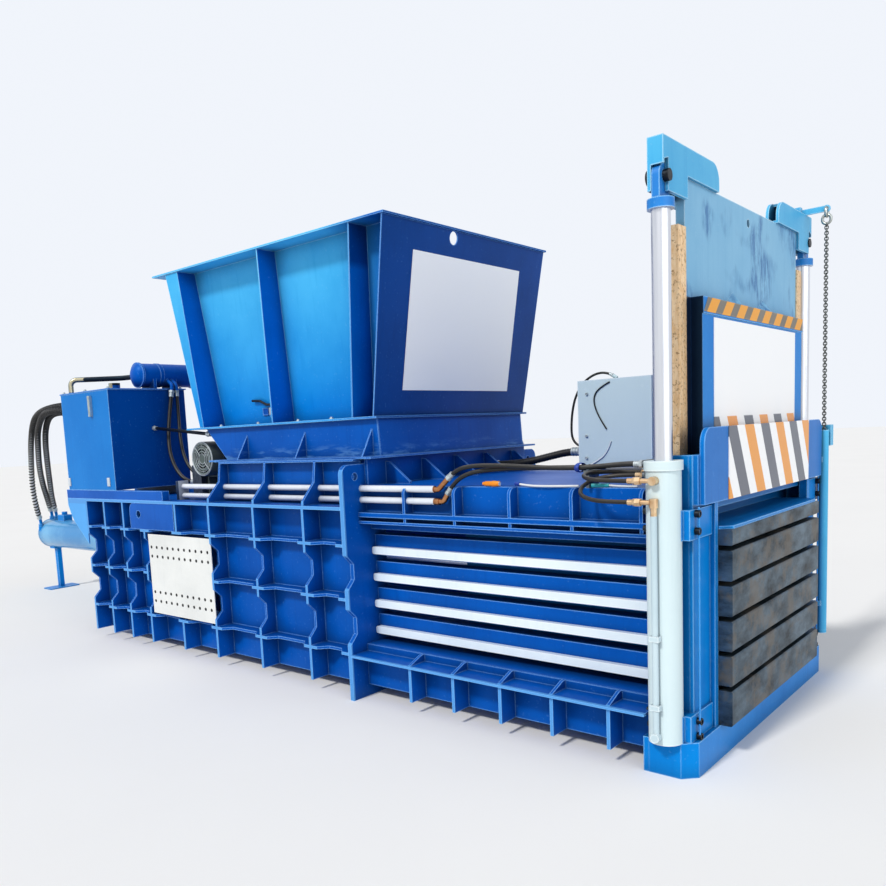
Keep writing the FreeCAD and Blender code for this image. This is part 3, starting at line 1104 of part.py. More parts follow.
BLOCK_X = 3862.0
HOSES = {
    "tank_hose_a": (38.0, [(-1234.2, -760, 1975), (-1460, -760, 1975), (-1850, -757, 1990),
                           (-2250, -710, 1975), (-2650, -605, 1935), (-3020, -480, 1850),
                           (-3330, -372, 1670), (-3530, -300, 1440), (-3640, -262, 1195),
                           (-3679.9, -224.6, 951), (-3761.8, -160.2, 822.3)]),
    "tank_hose_b": (38.0, [(-1234.2, -850, 1925), (-1450, -850, 1925), (-1800, -832, 1942),
                           (-2150, -750, 1942), (-2500, -630, 1900), (-2830, -520, 1785),
                           (-3080, -415, 1625), (-3270, -335, 1435), (-3430, -245, 1255),
                           (-3575, -155, 1130), (-3690, -78.6, 1014.2), (-3761.8, -22.2, 901.3)]),
    "tank_hose_c": (38.0, [(-1234.2, -670, 1900), (-1450, -670, 1900), (-1790, -665, 1925),
                           (-2140, -640, 1945), (-2480, -560, 1915), (-2790, -455, 1800),
                           (-3010, -365, 1665), (-3180, -285, 1510), (-3320, -215, 1350),
                           (-3450, -148, 1200), (-3575, -82.5, 1022), (-3651.8, -22.2, 901.3)]),
    "unit_hose_a": (30.0, [(-411, -500, 2031.7), (-408, -520, 1935), (-397, -556, 1790),
                           (-374, -592, 1640), (-322, -618, 1490), (-240, -616, 1360), (-130, -600, 1285),
                           (-20.3, -600, 1285)]),
    "unit_hose_b": (26.0, [(-411, -452, 2031.7), (-407, -455, 1930), (-385, -470, 1790),
                           (-350, -495, 1655), (-300, -515, 1520), (-225, -522, 1405), (-125, -512, 1330),
                           (-20.3, -512, 1330)]),
    "gate_hose_a": (24.0, [(2757.2, -900, 1334.2), (2812, -900, 1381.6), (2920, -900, 1404),
                           (3080, -896, 1404), (3240, -888, 1396), (3410, -876, 1386), (3590, -865, 1386),
                           (3740, -850, 1400), (3861.8, -850, 1400)]),
    "gate_hose_b": (24.0, [(2752.2, -900, 1250.2), (2796, -900, 1311.8), (2885, -896, 1362),
                           (3010, -876, 1382), (3180, -850, 1386), (3370, -830, 1386), (3590, -820, 1386),
                           (3740, -780, 1400), (3861.8, -780, 1400)]),
    "near_hose_a": (20.0, [(3861.8, -780, 1360), (3760, -780, 1360), (3670, -830, 1364),
                           (3620, -920, 1366), (3640, -1020, 1356), (3720, -1085, 1344),
                           (3830, -1102.4, 1341), (3941.7, -1102.4, 1341)]),
    "near_hose_b": (20.0, [(3861.8, -850, 1350), (3742.3, -850, 1350), (3651.1, -887.3, 1338.4),
                           (3611.6, -972.5, 1307.6), (3645, -1058.6, 1271.9), (3738.1, -1101.6, 1251.8),
                           (3837, -1102.4, 1248), (3941.7, -1102.4, 1248)]),
    "cable_bundle": (48.0, [(2119.3, 402, 1338), (2270, 402, 1338), (2430, 430, 1352), (2570, 490, 1385),
                            (2690, 530, 1412), (2799.7, 530, 1412)]),
    "cabinet_conduit": (16.0, [(2799.7, 600, 1440), (2747.5, 600, 1440), (2702.2, 600, 1466),
                               (2675.4, 600, 1512), (2675.6, 600, 1605), (2687, 600, 1694),
                               (2712, 600, 1782), (2766, 600, 1868), (2856, 600, 1922),
                               (2944, 600, 1926.5), (2992.3, 600, 1900.4)]),
}


def both(builder):
    near = builder()
    return group([near, mirror(near)])


def pipe_elbows():
    """Brass elbows at the front ends of the two long pipes."""
    a = tube_along([(PIPE_X[1], PIPE_Y, PIPE_Z[0]), (2690, PIPE_Y, 1276), (2757, PIPE_Y, 1334)], 30)
    b = tube_along([(PIPE_X[1] + 30, PIPE_Y, PIPE_Z[1]), (2722, PIPE_Y, 1208), (2752, PIPE_Y, 1250)], 30)
    return group([a, b])


def tank_all():
    bosses = [cyl(60, 30, (TANK[0] - 30, y, z), (1, 0, 0))
              for y, z in ((-760, 1975), (-850, 1925), (-670, 1900))]
    return fuse([tank_body()] + bosses)


BUILDERS = [
    ("rear_walls", lambda: both(lambda: fuse([rear_wall_near(), tail_bracket()]))),
    ("lug_plates", lambda: both(lug_plate)),
    ("access_panels", lambda: both(access_panel)),
    ("upper_feed_walls", lambda: both(upper_feed_wall)),
    ("rear_deck", lambda: group([rear_deck(), rear_bulkhead(), tank_skid()])),
    ("floor_plate", floor_plate),
    ("portal_plates", lambda: both(portal_near)),
    ("front_feed_wall", lambda: group([front_feed_wall(), shear_blade()])),
    ("chamber_roof", chamber_roof),
    ("top_bands", lambda: both(top_band_near)),
    ("side_beams", lambda: both(side_beams_near)),
    ("side_rails", lambda: both(side_rails_near)),
    ("bottom_bands", lambda: both(bottom_band_near)),
    ("gate_posts", lambda: group([both(post_near), rear_tie()])),
    ("gate_head", gate_head),
    ("frame_signs", lambda: group([head_sign(), hopper_sign()])),
    ("gate_base", gate_base),
    ("lift_barrels", lambda: both(lambda: group([barrel_near(), gland_near()]))),
    ("lift_rods", lambda: both(rod_near)),
    ("gate_ears", lambda: group([ear_near(), fuse([mirror(ear_near()), chain_arm()])])),
    ("gate_pins", lambda: both(pin_near)),
    ("gate_slab", gate_slab),
    ("gate_sign", gate_sign),
    ("gate_guides", guides),
    ("barrel_clamps", lambda: both(clamps_near)),
    ("lift_plumbing", lambda: both(lambda: group([oil_line_near(), ports_near()]))),
    ("ram_body", ram_body),
    ("platen_blocks", platen_blocks),
    ("main_rod", main_rod),
    ("main_barrel", lambda: fuse([main_barrel(), rear_cap()])),
    ("cylinder_flanges", lambda: group([main_gland(), mount_flange(), port_block()])),
    ("t_stand", t_stand),
    ("hopper_shell", lambda: group([hopper_shell(), latch_bracket()])),
    ("hopper_base", hopper_base),
    ("tank_body", tank_all),
    ("tank_lid", lambda: group([tank_lid(), breather(), lid_pipe(), level_gauge()])),
    ("filter_drum", lambda: group([filter_drum(), drum_saddles(), drum_strap()])),
    ("motor_body", lambda: fuse([motor_body(), motor_stand()])),
    ("fan_cover", fan_cover),
    ("motor_rotor", motor_rotor),
    ("pump_set", lambda: fuse([bell_housing(), pump()])),
    ("manifold", manifold),
    ("long_pipes", lambda: group([pipes(), pipe_stubs(), pipe_elbows()])),
    ("hose_rack", lambda: group([hose_rack(), branch_block(), far_lines()])),
    ("cabinet_body", lambda: group([cabinet_body(), hinge_leaves()])),
    ("cabinet_door", cabinet_door),
    ("chain_tube", lambda: group([chain_tube(), switch_box()])),
    ("hang_chain", hang_chain),
]


def main():
    os.makedirs("parts", exist_ok=True)
    for name, builder in BUILDERS:
        shape = builder()
        if not shape.isValid():
            print("invalid:", name)
        shape.exportStep("parts/%s.step" % name)
        print(name, len(shape.Solids), round(shape.Volume / 1e9, 4))
    for name, (d, route) in HOSES.items():
        tube_along(route, d, name).exportStep("parts/%s.step" % name)


main()
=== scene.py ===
# %% [markdown]
# # A recycling baler: the looks around a finished CAD part
# The machine is 8 m long: a ribbed press box with a flared hopper, a bale chamber with tie slots,
# a lifting gate between two hydraulic cylinders, and a power unit on the rear deck.
# The shapes of its steel parts come from the CAD model. This script gives them paint, steel and rubber,
# and adds what a drawing leaves to the workshop: hoses that hang, weld beads, bolts, signs and wires.

# %% Load the CAD model
import bpy
import bmesh
import math
from mathutils import Matrix, Vector


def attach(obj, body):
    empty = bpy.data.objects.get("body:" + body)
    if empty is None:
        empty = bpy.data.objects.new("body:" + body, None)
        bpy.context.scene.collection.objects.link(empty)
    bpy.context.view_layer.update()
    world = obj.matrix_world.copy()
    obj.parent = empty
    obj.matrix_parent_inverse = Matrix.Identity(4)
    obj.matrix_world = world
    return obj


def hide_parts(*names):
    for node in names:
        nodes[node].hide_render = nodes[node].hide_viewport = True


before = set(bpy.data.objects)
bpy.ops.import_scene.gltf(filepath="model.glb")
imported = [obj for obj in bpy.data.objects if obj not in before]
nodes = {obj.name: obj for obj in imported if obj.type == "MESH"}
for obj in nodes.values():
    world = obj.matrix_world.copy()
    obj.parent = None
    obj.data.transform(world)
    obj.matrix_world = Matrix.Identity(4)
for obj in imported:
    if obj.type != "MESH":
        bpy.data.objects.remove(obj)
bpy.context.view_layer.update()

# %% [markdown]
# ## Camera
# The photographer stood at the gate end, a little off the corner, at eye height, with a short lens.
# The place and angles were worked out from straight edges of known length, so that the model falls on
# the same pixels. The shift puts the lens axis where it was before the photo was cropped.

# %% Camera
EYE = (5.518, -4.426, 1.600)
YAW, PITCH, ROLL = (math.radians(a) for a in (41.432, -6.834, -2.790))

camera_data = bpy.data.cameras.new("camera")
camera_data.sensor_width = 36.0
camera_data.lens = 33.26
camera_data.shift_x, camera_data.shift_y = 0.0462, 0.0984
camera = bpy.data.objects.new("camera", camera_data)
bpy.context.scene.collection.objects.link(camera)
level = Vector((-math.sin(YAW), math.cos(YAW), 0.0))
side = Vector((math.cos(YAW), math.sin(YAW), 0.0))
up = Vector((0.0, 0.0, 1.0))
ahead = level * math.cos(PITCH) + up * math.sin(PITCH)
above = up * math.cos(PITCH) - level * math.sin(PITCH)
right = side * math.cos(ROLL) + above * math.sin(ROLL)
top = above * math.cos(ROLL) - side * math.sin(ROLL)
turn = Matrix((right, top, -ahead)).transposed().to_4x4()
camera.matrix_world = Matrix.Translation(EYE) @ turn
bpy.context.scene.camera = camera
print("camera at", EYE)

# %% [markdown]
# ## Colour and node helpers
# Blender mixes light in linear values, while a colour picker gives sRGB, so one function turns a hex
# value to linear. A second one adds a shader node with its settings and links in a single call,
# which keeps each material short enough to read from top to bottom.

# %% Colour and node helpers
def linear(hex_value):
    """sRGB hex such as '#1060C0' as linear red, green, blue and alpha."""
    parts = [int(hex_value[i:i + 2], 16) / 255 for i in (1, 3, 5)]
    return tuple(c / 12.92 if c <= 0.04045 else ((c + 0.055) / 1.055) ** 2.4 for c in parts) + (1.0,)


def add(tree, kind, inputs=None, **settings):
    """A new node with its settings, and its inputs set to a value or linked to another node's output."""
    node = tree.nodes.new(kind)
    for key, value in settings.items():
        setattr(node, key, value)
    for key, value in (inputs or {}).items():
        if isinstance(value, bpy.types.NodeSocket):
            tree.links.new(value, node.inputs[key])
        else:
            node.inputs[key].default_value = value
    return node


def new_material(name):
    """An empty node material and its tree."""
    made = bpy.data.materials.new(name)
    made.use_nodes = True
    made.node_tree.nodes.clear()
    return made, made.node_tree


print("paint blue in linear:", [round(c, 3) for c in linear("#0B62C4")])

# %% [markdown]
# ## Light and floor
# The photo was taken outdoors with the sun high on the near side, so the long side is lit and the gate end
# is in shade. A soft sun lamp stands for it. Pale ground throws light back on the gate end, and a second,
# very soft lamp stands for that. The sky lights the object at half the strength it is seen with.

# %% Light and floor
SKY_LIGHT, SKY_SEEN = 0.50, 0.97

world = bpy.data.worlds.new("sky")
bpy.context.scene.world = world
world.use_nodes = True
sky = world.node_tree
sky.nodes.clear()
rays = add(sky, "ShaderNodeLightPath").outputs
mirrored = add(sky, "ShaderNodeMath", {0: rays["Is Glossy Ray"], 1: rays["Is Transmission Ray"]},
               operation="MAXIMUM").outputs[0]
seen = add(sky, "ShaderNodeMath", {0: rays["Is Camera Ray"], 1: mirrored}, operation="MAXIMUM").outputs[0]
strength = add(sky, "ShaderNodeMapRange", {"Value": seen, "To Min": SKY_LIGHT, "To Max": SKY_SEEN}).outputs[0]
emit = add(sky, "ShaderNodeBackground", {"Color": linear("#F4F8FF"), "Strength": strength})
add(sky, "ShaderNodeOutputWorld", {"Surface": emit.outputs[0]})


def sun_lamp(name, energy, width, colour, comes_from):
    """A lamp as far off as the sun. Its width is an angle in degrees: wider gives softer shadows."""
    data = bpy.data.lights.new(name, "SUN")
    data.energy, data.angle, data.color = energy, math.radians(width), colour
    lamp = bpy.data.objects.new(name, data)
    bpy.context.scene.collection.objects.link(lamp)
    lamp.rotation_euler = Vector(comes_from).to_track_quat("Z", "Y").to_euler()


sun_lamp("sun", 2.2, 8, (1.0, 0.97, 0.92), (-0.06, -0.74, 0.72))
sun_lamp("fill", 1.2, 60, (0.95, 0.98, 1.0), (0.88, -0.30, 0.22))

bpy.ops.mesh.primitive_plane_add(size=160, location=(0, 0, 0))
floor = bpy.context.object
floor.name = "floor"
concrete, tree = new_material("pale_concrete")
place = add(tree, "ShaderNodeTexCoord").outputs["Object"]
cloud = add(tree, "ShaderNodeTexNoise", {"Vector": place, "Scale": 0.7, "Detail": 4.0}).outputs["Fac"]
tone = add(tree, "ShaderNodeMapRange", {"Value": cloud, "To Min": 0.84, "To Max": 0.88}).outputs[0]
ground = add(tree, "ShaderNodeBsdfDiffuse", {"Color": tone})
add(tree, "ShaderNodeOutputMaterial", {"Surface": ground.outputs[0]})
floor.data.materials.append(concrete)
bpy.context.scene.view_settings.view_transform = "Standard"
print("sky, two lamps and floor")

# %% [markdown]
# ## Hoses and cables
# A hydraulic hose is a rubber tube over steel wire: it bends smoothly and never kinks. Each one is a
# curve of a single NURBS spline whose control points follow the route of the CAD hose, in metres. Order 3
# gives one even bend between each pair of points, and the endpoint setting makes the line start in its
# fitting. A mesh tube would do too, but a curve keeps its own line, which the wraps below follow.

# %% Hoses and cables
HOSES = {
    "tank_hose_a": (0.038, 3.196, [
        (-1.2342, -0.76, 1.975), (-1.46, -0.76, 1.975), (-1.85, -0.757, 1.99), (-2.25, -0.71, 1.975),
        (-2.65, -0.605, 1.935), (-3.02, -0.48, 1.85), (-3.33, -0.372, 1.67), (-3.53, -0.3, 1.44),
        (-3.64, -0.262, 1.195), (-3.6799, -0.2246, 0.951), (-3.7618, -0.1602, 0.8223)]),
    "tank_hose_b": (0.038, 3.048, [
        (-1.2342, -0.85, 1.925), (-1.45, -0.85, 1.925), (-1.8, -0.832, 1.942), (-2.15, -0.75, 1.942),
        (-2.5, -0.63, 1.9), (-2.83, -0.52, 1.785), (-3.08, -0.415, 1.625), (-3.27, -0.335, 1.435),
        (-3.43, -0.245, 1.255), (-3.575, -0.155, 1.13), (-3.69, -0.0786, 1.0142),
        (-3.7618, -0.0222, 0.9013)]),
    "tank_hose_c": (0.038, 2.933, [
        (-1.2342, -0.67, 1.9), (-1.45, -0.67, 1.9), (-1.79, -0.665, 1.925), (-2.14, -0.64, 1.945),
        (-2.48, -0.56, 1.915), (-2.79, -0.455, 1.8), (-3.01, -0.365, 1.665), (-3.18, -0.285, 1.51),
        (-3.32, -0.215, 1.35), (-3.45, -0.148, 1.2), (-3.575, -0.0825, 1.022), (-3.6518, -0.0222, 0.9013)]),
    "unit_hose_a": (0.030, 0.957, [
        (-0.411, -0.5, 2.0317), (-0.408, -0.52, 1.935), (-0.397, -0.556, 1.79), (-0.374, -0.592, 1.64),
        (-0.322, -0.618, 1.49), (-0.24, -0.616, 1.36), (-0.13, -0.6, 1.285), (-0.0203, -0.6, 1.285)]),
    "unit_hose_b": (0.026, 0.893, [
        (-0.411, -0.452, 2.0317), (-0.407, -0.455, 1.93), (-0.385, -0.47, 1.79), (-0.35, -0.495, 1.655),
        (-0.3, -0.515, 1.52), (-0.225, -0.522, 1.405), (-0.125, -0.512, 1.33), (-0.0203, -0.512, 1.33)]),
    "gate_hose_a": (0.024, 1.125, [
        (2.7572, -0.9, 1.3342), (2.812, -0.9, 1.3816), (2.92, -0.9, 1.404), (3.08, -0.896, 1.404),
        (3.24, -0.888, 1.396), (3.41, -0.876, 1.386), (3.59, -0.865, 1.386), (3.74, -0.85, 1.4),
        (3.8618, -0.85, 1.4)]),
    "gate_hose_b": (0.024, 1.163, [
        (2.7522, -0.9, 1.2502), (2.796, -0.9, 1.3118), (2.885, -0.896, 1.362), (3.01, -0.876, 1.382),
        (3.18, -0.85, 1.386), (3.37, -0.83, 1.386), (3.59, -0.82, 1.386), (3.74, -0.78, 1.4),
        (3.8618, -0.78, 1.4)]),
    "near_hose_a": (0.020, 0.723, [
        (3.8618, -0.78, 1.36), (3.76, -0.78, 1.36), (3.67, -0.83, 1.364), (3.62, -0.92, 1.366),
        (3.64, -1.02, 1.356), (3.72, -1.085, 1.344), (3.83, -1.1024, 1.341), (3.9417, -1.1024, 1.341)]),
    "near_hose_b": (0.020, 0.709, [
        (3.8618, -0.85, 1.35), (3.7423, -0.85, 1.35), (3.6511, -0.8873, 1.3384), (3.6116, -0.9725, 1.3076),
        (3.645, -1.0586, 1.2719), (3.7381, -1.1016, 1.2518), (3.837, -1.1024, 1.248),
        (3.9417, -1.1024, 1.248)]),
    "cable_bundle": (0.048, 0.706, [
        (2.1193, 0.402, 1.338), (2.27, 0.402, 1.338), (2.43, 0.43, 1.352), (2.57, 0.49, 1.385),
        (2.69, 0.53, 1.412), (2.7997, 0.53, 1.412)]),
    "cabinet_conduit": (0.016, 0.773, [
        (2.7997, 0.6, 1.44), (2.7475, 0.6, 1.44), (2.7022, 0.6, 1.466), (2.6754, 0.6, 1.512),
        (2.6756, 0.6, 1.605), (2.687, 0.6, 1.694), (2.712, 0.6, 1.782), (2.766, 0.6, 1.868),
        (2.856, 0.6, 1.922), (2.944, 0.6, 1.9265), (2.9923, 0.6, 1.9004)]),
}


def line_through(name, points, radius, kind="NURBS", steps=10, sides=5):
    """A curve through points with a round section. Steps and sides say how finely it is drawn."""
    curve = bpy.data.curves.new(name, "CURVE")
    curve.dimensions = "3D"
    spline = curve.splines.new(kind)
    spline.points.add(len(points) - 1)
    for point, at in zip(spline.points, points):
        point.co = (*at, 1.0)
    if kind == "NURBS":
        spline.order_u = 3
        spline.use_endpoint_u = True
    curve.resolution_u, curve.bevel_resolution = steps, sides
    curve.bevel_depth, curve.use_fill_caps = radius, True
    line = bpy.data.objects.new(name, curve)
    bpy.context.scene.collection.objects.link(line)
    return line


cords = {name: line_through(name + "_free", points, thickness / 2)
         for name, (thickness, length, points) in HOSES.items()}
print(len(cords), "cords,", round(sum(h[1] for h in HOSES.values()), 2), "m of hose")

# %% [markdown]
# ### Guard coils
# The three long hoses wear a black plastic coil against rubbing, and the cable bundle lies in a ribbed
# conduit.
# A wrap is a helix round the hose's own line. It is drawn as a curve with a round section and then made
# a mesh: a screw modifier would be quicker, but it can't follow a bend.

# %% Wraps on a hose
def line_of(cord):
    """Points along a cord, read from its own curve drawn without thickness."""
    curve = cord.data
    thickness, curve.bevel_depth = curve.bevel_depth, 0.0
    mesh = bpy.data.meshes.new_from_object(cord)
    curve.bevel_depth = thickness
    points = [vertex.co.copy() for vertex in mesh.vertices]
    bpy.data.meshes.remove(mesh)
    return points


def select_only(*pieces):
    """Select these pieces and make the first one active."""
    bpy.ops.object.select_all(action="DESELECT")
    for piece in pieces:
        piece.select_set(True)
    bpy.context.view_layer.objects.active = pieces[0]


def as_mesh(line):
    """A drawn curve made into a mesh, which is then the active piece."""
    select_only(line)
    bpy.ops.object.convert(target="MESH")
    return bpy.context.object


def wrap(cord, name, radius, pitch, wire, steps=12, margin=0.05):
    """A wire wound on a cord: radius of the winding, its pitch, and the wire's own radius."""
    points = line_of(cord)
    runs = [(b - a).length for a, b in zip(points, points[1:])]
    total = sum(runs)
    count = int((total - 2 * margin) / pitch * steps)
    normal = Vector((0.0, 0.0, 1.0))
    helix, index, passed = [], 0, 0.0
    for i in range(count):
        at = margin + i * pitch / steps
        while at > passed + runs[index]:
            passed += runs[index]
            index += 1
        ahead = (points[index + 1] - points[index]).normalized()
        normal = (normal - ahead * normal.dot(ahead)).normalized()
        angle = 2 * math.pi * i / steps
        outward = normal * math.cos(angle) + ahead.cross(normal) * math.sin(angle)
        helix.append(points[index] + ahead * (at - passed) + outward * radius)
    wound = as_mesh(line_through(name, helix, wire, "POLY", sides=1))
    bpy.ops.object.shade_smooth()
    return wound


wraps = {name: wrap(cords[name], name + "_wrap", 0.0230, 0.036, 0.0085)
         for name in ("tank_hose_a", "tank_hose_b", "tank_hose_c")}
wraps["cable_bundle"] = wrap(cords["cable_bundle"], "cable_bundle_ribs", 0.0235, 0.011, 0.0032,
                             margin=0.006)
print({name: len(piece.data.polygons) for name, piece in wraps.items()})

# %% [markdown]
# ## Shaping helpers
# Each new piece starts as a primitive at its own size and place. These few functions select faces by
# where they are, put a piece's place into its mesh, and copy a piece that repeats.

# %% Shaping helpers
def settled():
    """Put the active piece's place into its mesh, so that its own axes are the machine's."""
    bpy.ops.object.transform_apply(location=True, rotation=True, scale=True)
    return bpy.context.object


def box_between(low, high):
    """A box primitive between two corners, ready for shaping."""
    bpy.ops.object.select_all(action="DESELECT")
    middle = [(a + b) / 2 for a, b in zip(low, high)]
    bpy.ops.mesh.primitive_cube_add(size=1.0, location=middle, scale=[b - a for a, b in zip(low, high)])
    return settled()


def bar_between(start, end, radius, sides=24):
    """A round bar primitive between two points, ready for shaping."""
    bpy.ops.object.select_all(action="DESELECT")
    reach = Vector(end) - Vector(start)
    bpy.ops.mesh.primitive_cylinder_add(vertices=sides, radius=radius, depth=reach.length,
                                        location=(Vector(start) + Vector(end)) / 2,
                                        rotation=reach.to_track_quat("Z", "Y").to_euler())
    return settled()


def edit_mode():
    """Open the active piece for shaping."""
    bpy.ops.object.mode_set(mode="EDIT")


def object_mode():
    """Close the active piece again."""
    bpy.ops.object.mode_set(mode="OBJECT")
    return bpy.context.object


def pick(test):
    """In edit mode, select just the faces whose centre and normal pass the test."""
    bpy.ops.mesh.select_mode(type="FACE")
    bpy.ops.mesh.select_all(action="DESELECT")
    mesh = bmesh.from_edit_mesh(bpy.context.object.data)
    for face in mesh.faces:
        face.select_set(test(face.calc_center_median(), face.normal))
    mesh.select_flush_mode()
    bmesh.update_edit_mesh(bpy.context.object.data)


def extrude(distance):
    """Extrude the selected faces along Z."""
    bpy.ops.mesh.extrude_region_move(TRANSFORM_OT_translate={"value": (0, 0, distance)})


def joined(*pieces):
    """Several pieces joined into the first, which is then active."""
    select_only(*pieces)
    bpy.ops.object.join()
    return bpy.context.object


def finish_piece(name, finish, body="frame", bevel=0.0, angle=35):
    """Name the active piece, round its edges, set its place into its mesh, and give it finish and body."""
    object_mode()
    piece = settled()
    piece.name = name
    if bevel:
        edge = piece.modifiers.new("edge", "BEVEL")
        edge.width, edge.segments, edge.limit_method = bevel, 2, "ANGLE"
        bpy.ops.object.modifier_apply(modifier="edge")
    bpy.ops.object.shade_smooth_by_angle(angle=math.radians(angle))
    piece.data.materials.clear()
    piece.data.materials.append(finish)
    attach(piece, body)
    return piece


def spread(places, name, finish, body="frame", angle=35):
    """Copies of the active piece, modelled at the origin, each with its own mesh, joined under one name."""
    source = bpy.context.object
    copies = []
    for place in places:
        twin = source.copy()
        twin.data = source.data.copy()
        twin.data.transform(place)
        if place.determinant() < 0:
            twin.data.flip_normals()
        bpy.context.scene.collection.objects.link(twin)
        copies.append(twin)
    bpy.data.objects.remove(source)
    joined(*copies)
    return finish_piece(name, finish, body, angle=angle)


def aim(at, direction, size=(1.0, 1.0, 1.0)):
    """A placing matrix: a piece's own Z turned to a direction, at a point, scaled."""
    turned = Vector(direction).to_track_quat("Z", "Y").to_matrix().to_4x4()
    return Matrix.Translation(at) @ turned @ Matrix.Diagonal((*size, 1.0))


print("helpers ready")

# %% [markdown]
# ## Looks of paint, metal and rubber
# The frame is hot-rolled plate, welded, then sprayed with an alkyd machine enamel. The eye sees three
# things: a slightly uneven colour where the coat is thick or thin, dirt and painted shade in the corners
# where plates meet, and a painted highlight along each edge, where it catches the sky. An ambient occlusion
# node finds the corners and a bevel node finds the edges, because both work on CAD meshes with no UV map.
# Each function below returns colour, roughness, metal and height, so that one part can show two looks.

# %% Paint look
def overlap(tree, first, second):
    """Mask where both masks are."""
    return add(tree, "ShaderNodeMath", {0: first, 1: second}, operation="MULTIPLY").outputs[0]


def coats(tree, ground, *layers):
    """A ground colour with coats over it, each a mask and a hex colour, from the lowest up."""
    for mask, colour in layers:
        ground = add(tree, "ShaderNodeMix", {0: mask, 6: ground, 7: linear(colour)},
                     data_type="RGBA").outputs[2]
    return ground


def paint_look(tree, place, colour, deep, edge, roughness=0.36, dust=0.55, streaks=0.35, mottle=0.25,
               grime="#101C30"):
    """Sprayed alkyd enamel on steel plate, with runs, dirt and painted shade in corners, and painted
    highlights along edges.
    """
    broad = add(tree, "ShaderNodeTexNoise", {"Vector": place, "Scale": 1.8, "Detail": 5.0,
                                             "Roughness": 0.6}).outputs["Fac"]
    patch = add(tree, "ShaderNodeMapRange", {"Value": broad, "From Min": 0.38, "From Max": 0.66,
                                             "To Max": mottle * 2}).outputs[0]
    # runs and wash marks: narrow across, long down, about 30 mm wide
    drawn = add(tree, "ShaderNodeMapping", {"Vector": place, "Scale": (34.0, 34.0, 1.6)}).outputs[0]
    lines = add(tree, "ShaderNodeTexNoise", {"Vector": drawn, "Scale": 1.0, "Detail": 3.0}).outputs["Fac"]
    runs = add(tree, "ShaderNodeMapRange", {"Value": lines, "From Min": 0.55, "From Max": 0.8,
                                            "To Max": streaks}).outputs[0]
    # spatter and dust specks, 5 to 10 mm, where the coat was sprayed over them
    grit = add(tree, "ShaderNodeTexNoise", {"Vector": place, "Scale": 55.0}).outputs["Fac"]
    specks = add(tree, "ShaderNodeMapRange", {"Value": grit, "From Min": 0.66, "From Max": 0.72,
                                              "To Max": 0.08}).outputs[0]
    # dirt and painted shade in corners that see little of the sky within 140 mm
    open_sky = add(tree, "ShaderNodeAmbientOcclusion", {"Distance": 0.14}, samples=6).outputs["AO"]
    corners = add(tree, "ShaderNodeMapRange", {"Value": open_sky, "From Min": 0.35, "From Max": 0.85,
                                               "To Min": dust, "To Max": 0.0}).outputs[0]
    # painted highlight along edges: where a 10 mm bevel would turn the face away from its own direction
    rounded = add(tree, "ShaderNodeBevel", {"Radius": 0.010}, samples=4).outputs[0]
    flat = add(tree, "ShaderNodeNewGeometry").outputs["Normal"]
    same = add(tree, "ShaderNodeVectorMath", {0: rounded, 1: flat}, operation="DOT_PRODUCT").outputs["Value"]
    rim = add(tree, "ShaderNodeMapRange", {"Value": same, "From Min": 0.97, "From Max": 0.82,
                                           "To Max": 0.85}).outputs[0]
    matt = add(tree, "ShaderNodeMapRange", {"Value": broad, "To Min": roughness - 0.06,
                                            "To Max": roughness + 0.16}).outputs[0]
    peel = add(tree, "ShaderNodeTexNoise", {"Vector": place, "Scale": 160.0}).outputs["Fac"]
    coat = coats(tree, linear(colour), (patch, deep), (runs, deep), (specks, edge), (corners, grime),
                 (overlap(tree, rim, open_sky), edge))
    return {"colour": coat, "rough": matt, "metal": 0.0, "height": peel}


# %% Metal look
def metal_look(tree, place, colour, worn, roughness, scale=(6.0, 6.0, 6.0), spread_by=0.5, spots=0.0,
               spot_colour="#3A2A1C", spot_scale=9.0, spot_edge=0.54):
    """Bare metal whose tone and gloss vary with a drawn-out grain, with rust or grease spots."""
    drawn = add(tree, "ShaderNodeMapping", {"Vector": place, "Scale": scale}).outputs[0]
    grain = add(tree, "ShaderNodeTexNoise", {"Vector": drawn, "Scale": 1.0, "Detail": 6.0,
                                             "Roughness": 0.65}).outputs["Fac"]
    wear = add(tree, "ShaderNodeMapRange", {"Value": grain, "From Min": 0.5 - spread_by / 2,
                                            "From Max": 0.5 + spread_by / 2}).outputs[0]
    spotty = add(tree, "ShaderNodeTexNoise", {"Vector": place, "Scale": spot_scale, "Detail": 5.0,
                                              "Roughness": 0.7}).outputs["Fac"]
    blots = add(tree, "ShaderNodeMapRange", {"Value": spotty, "From Min": spot_edge,
                                             "From Max": spot_edge + 0.10, "To Max": spots}).outputs[0]
    bare = add(tree, "ShaderNodeMath", {0: 1.0, 1: blots}, operation="SUBTRACT").outputs[0]
    rough = add(tree, "ShaderNodeMapRange", {"Value": grain, "To Min": roughness - 0.1,
                                             "To Max": roughness + 0.14}).outputs[0]
    return {"colour": coats(tree, linear(colour), (wear, worn), (blots, spot_colour)), "rough": rough,
            "metal": bare, "height": grain}


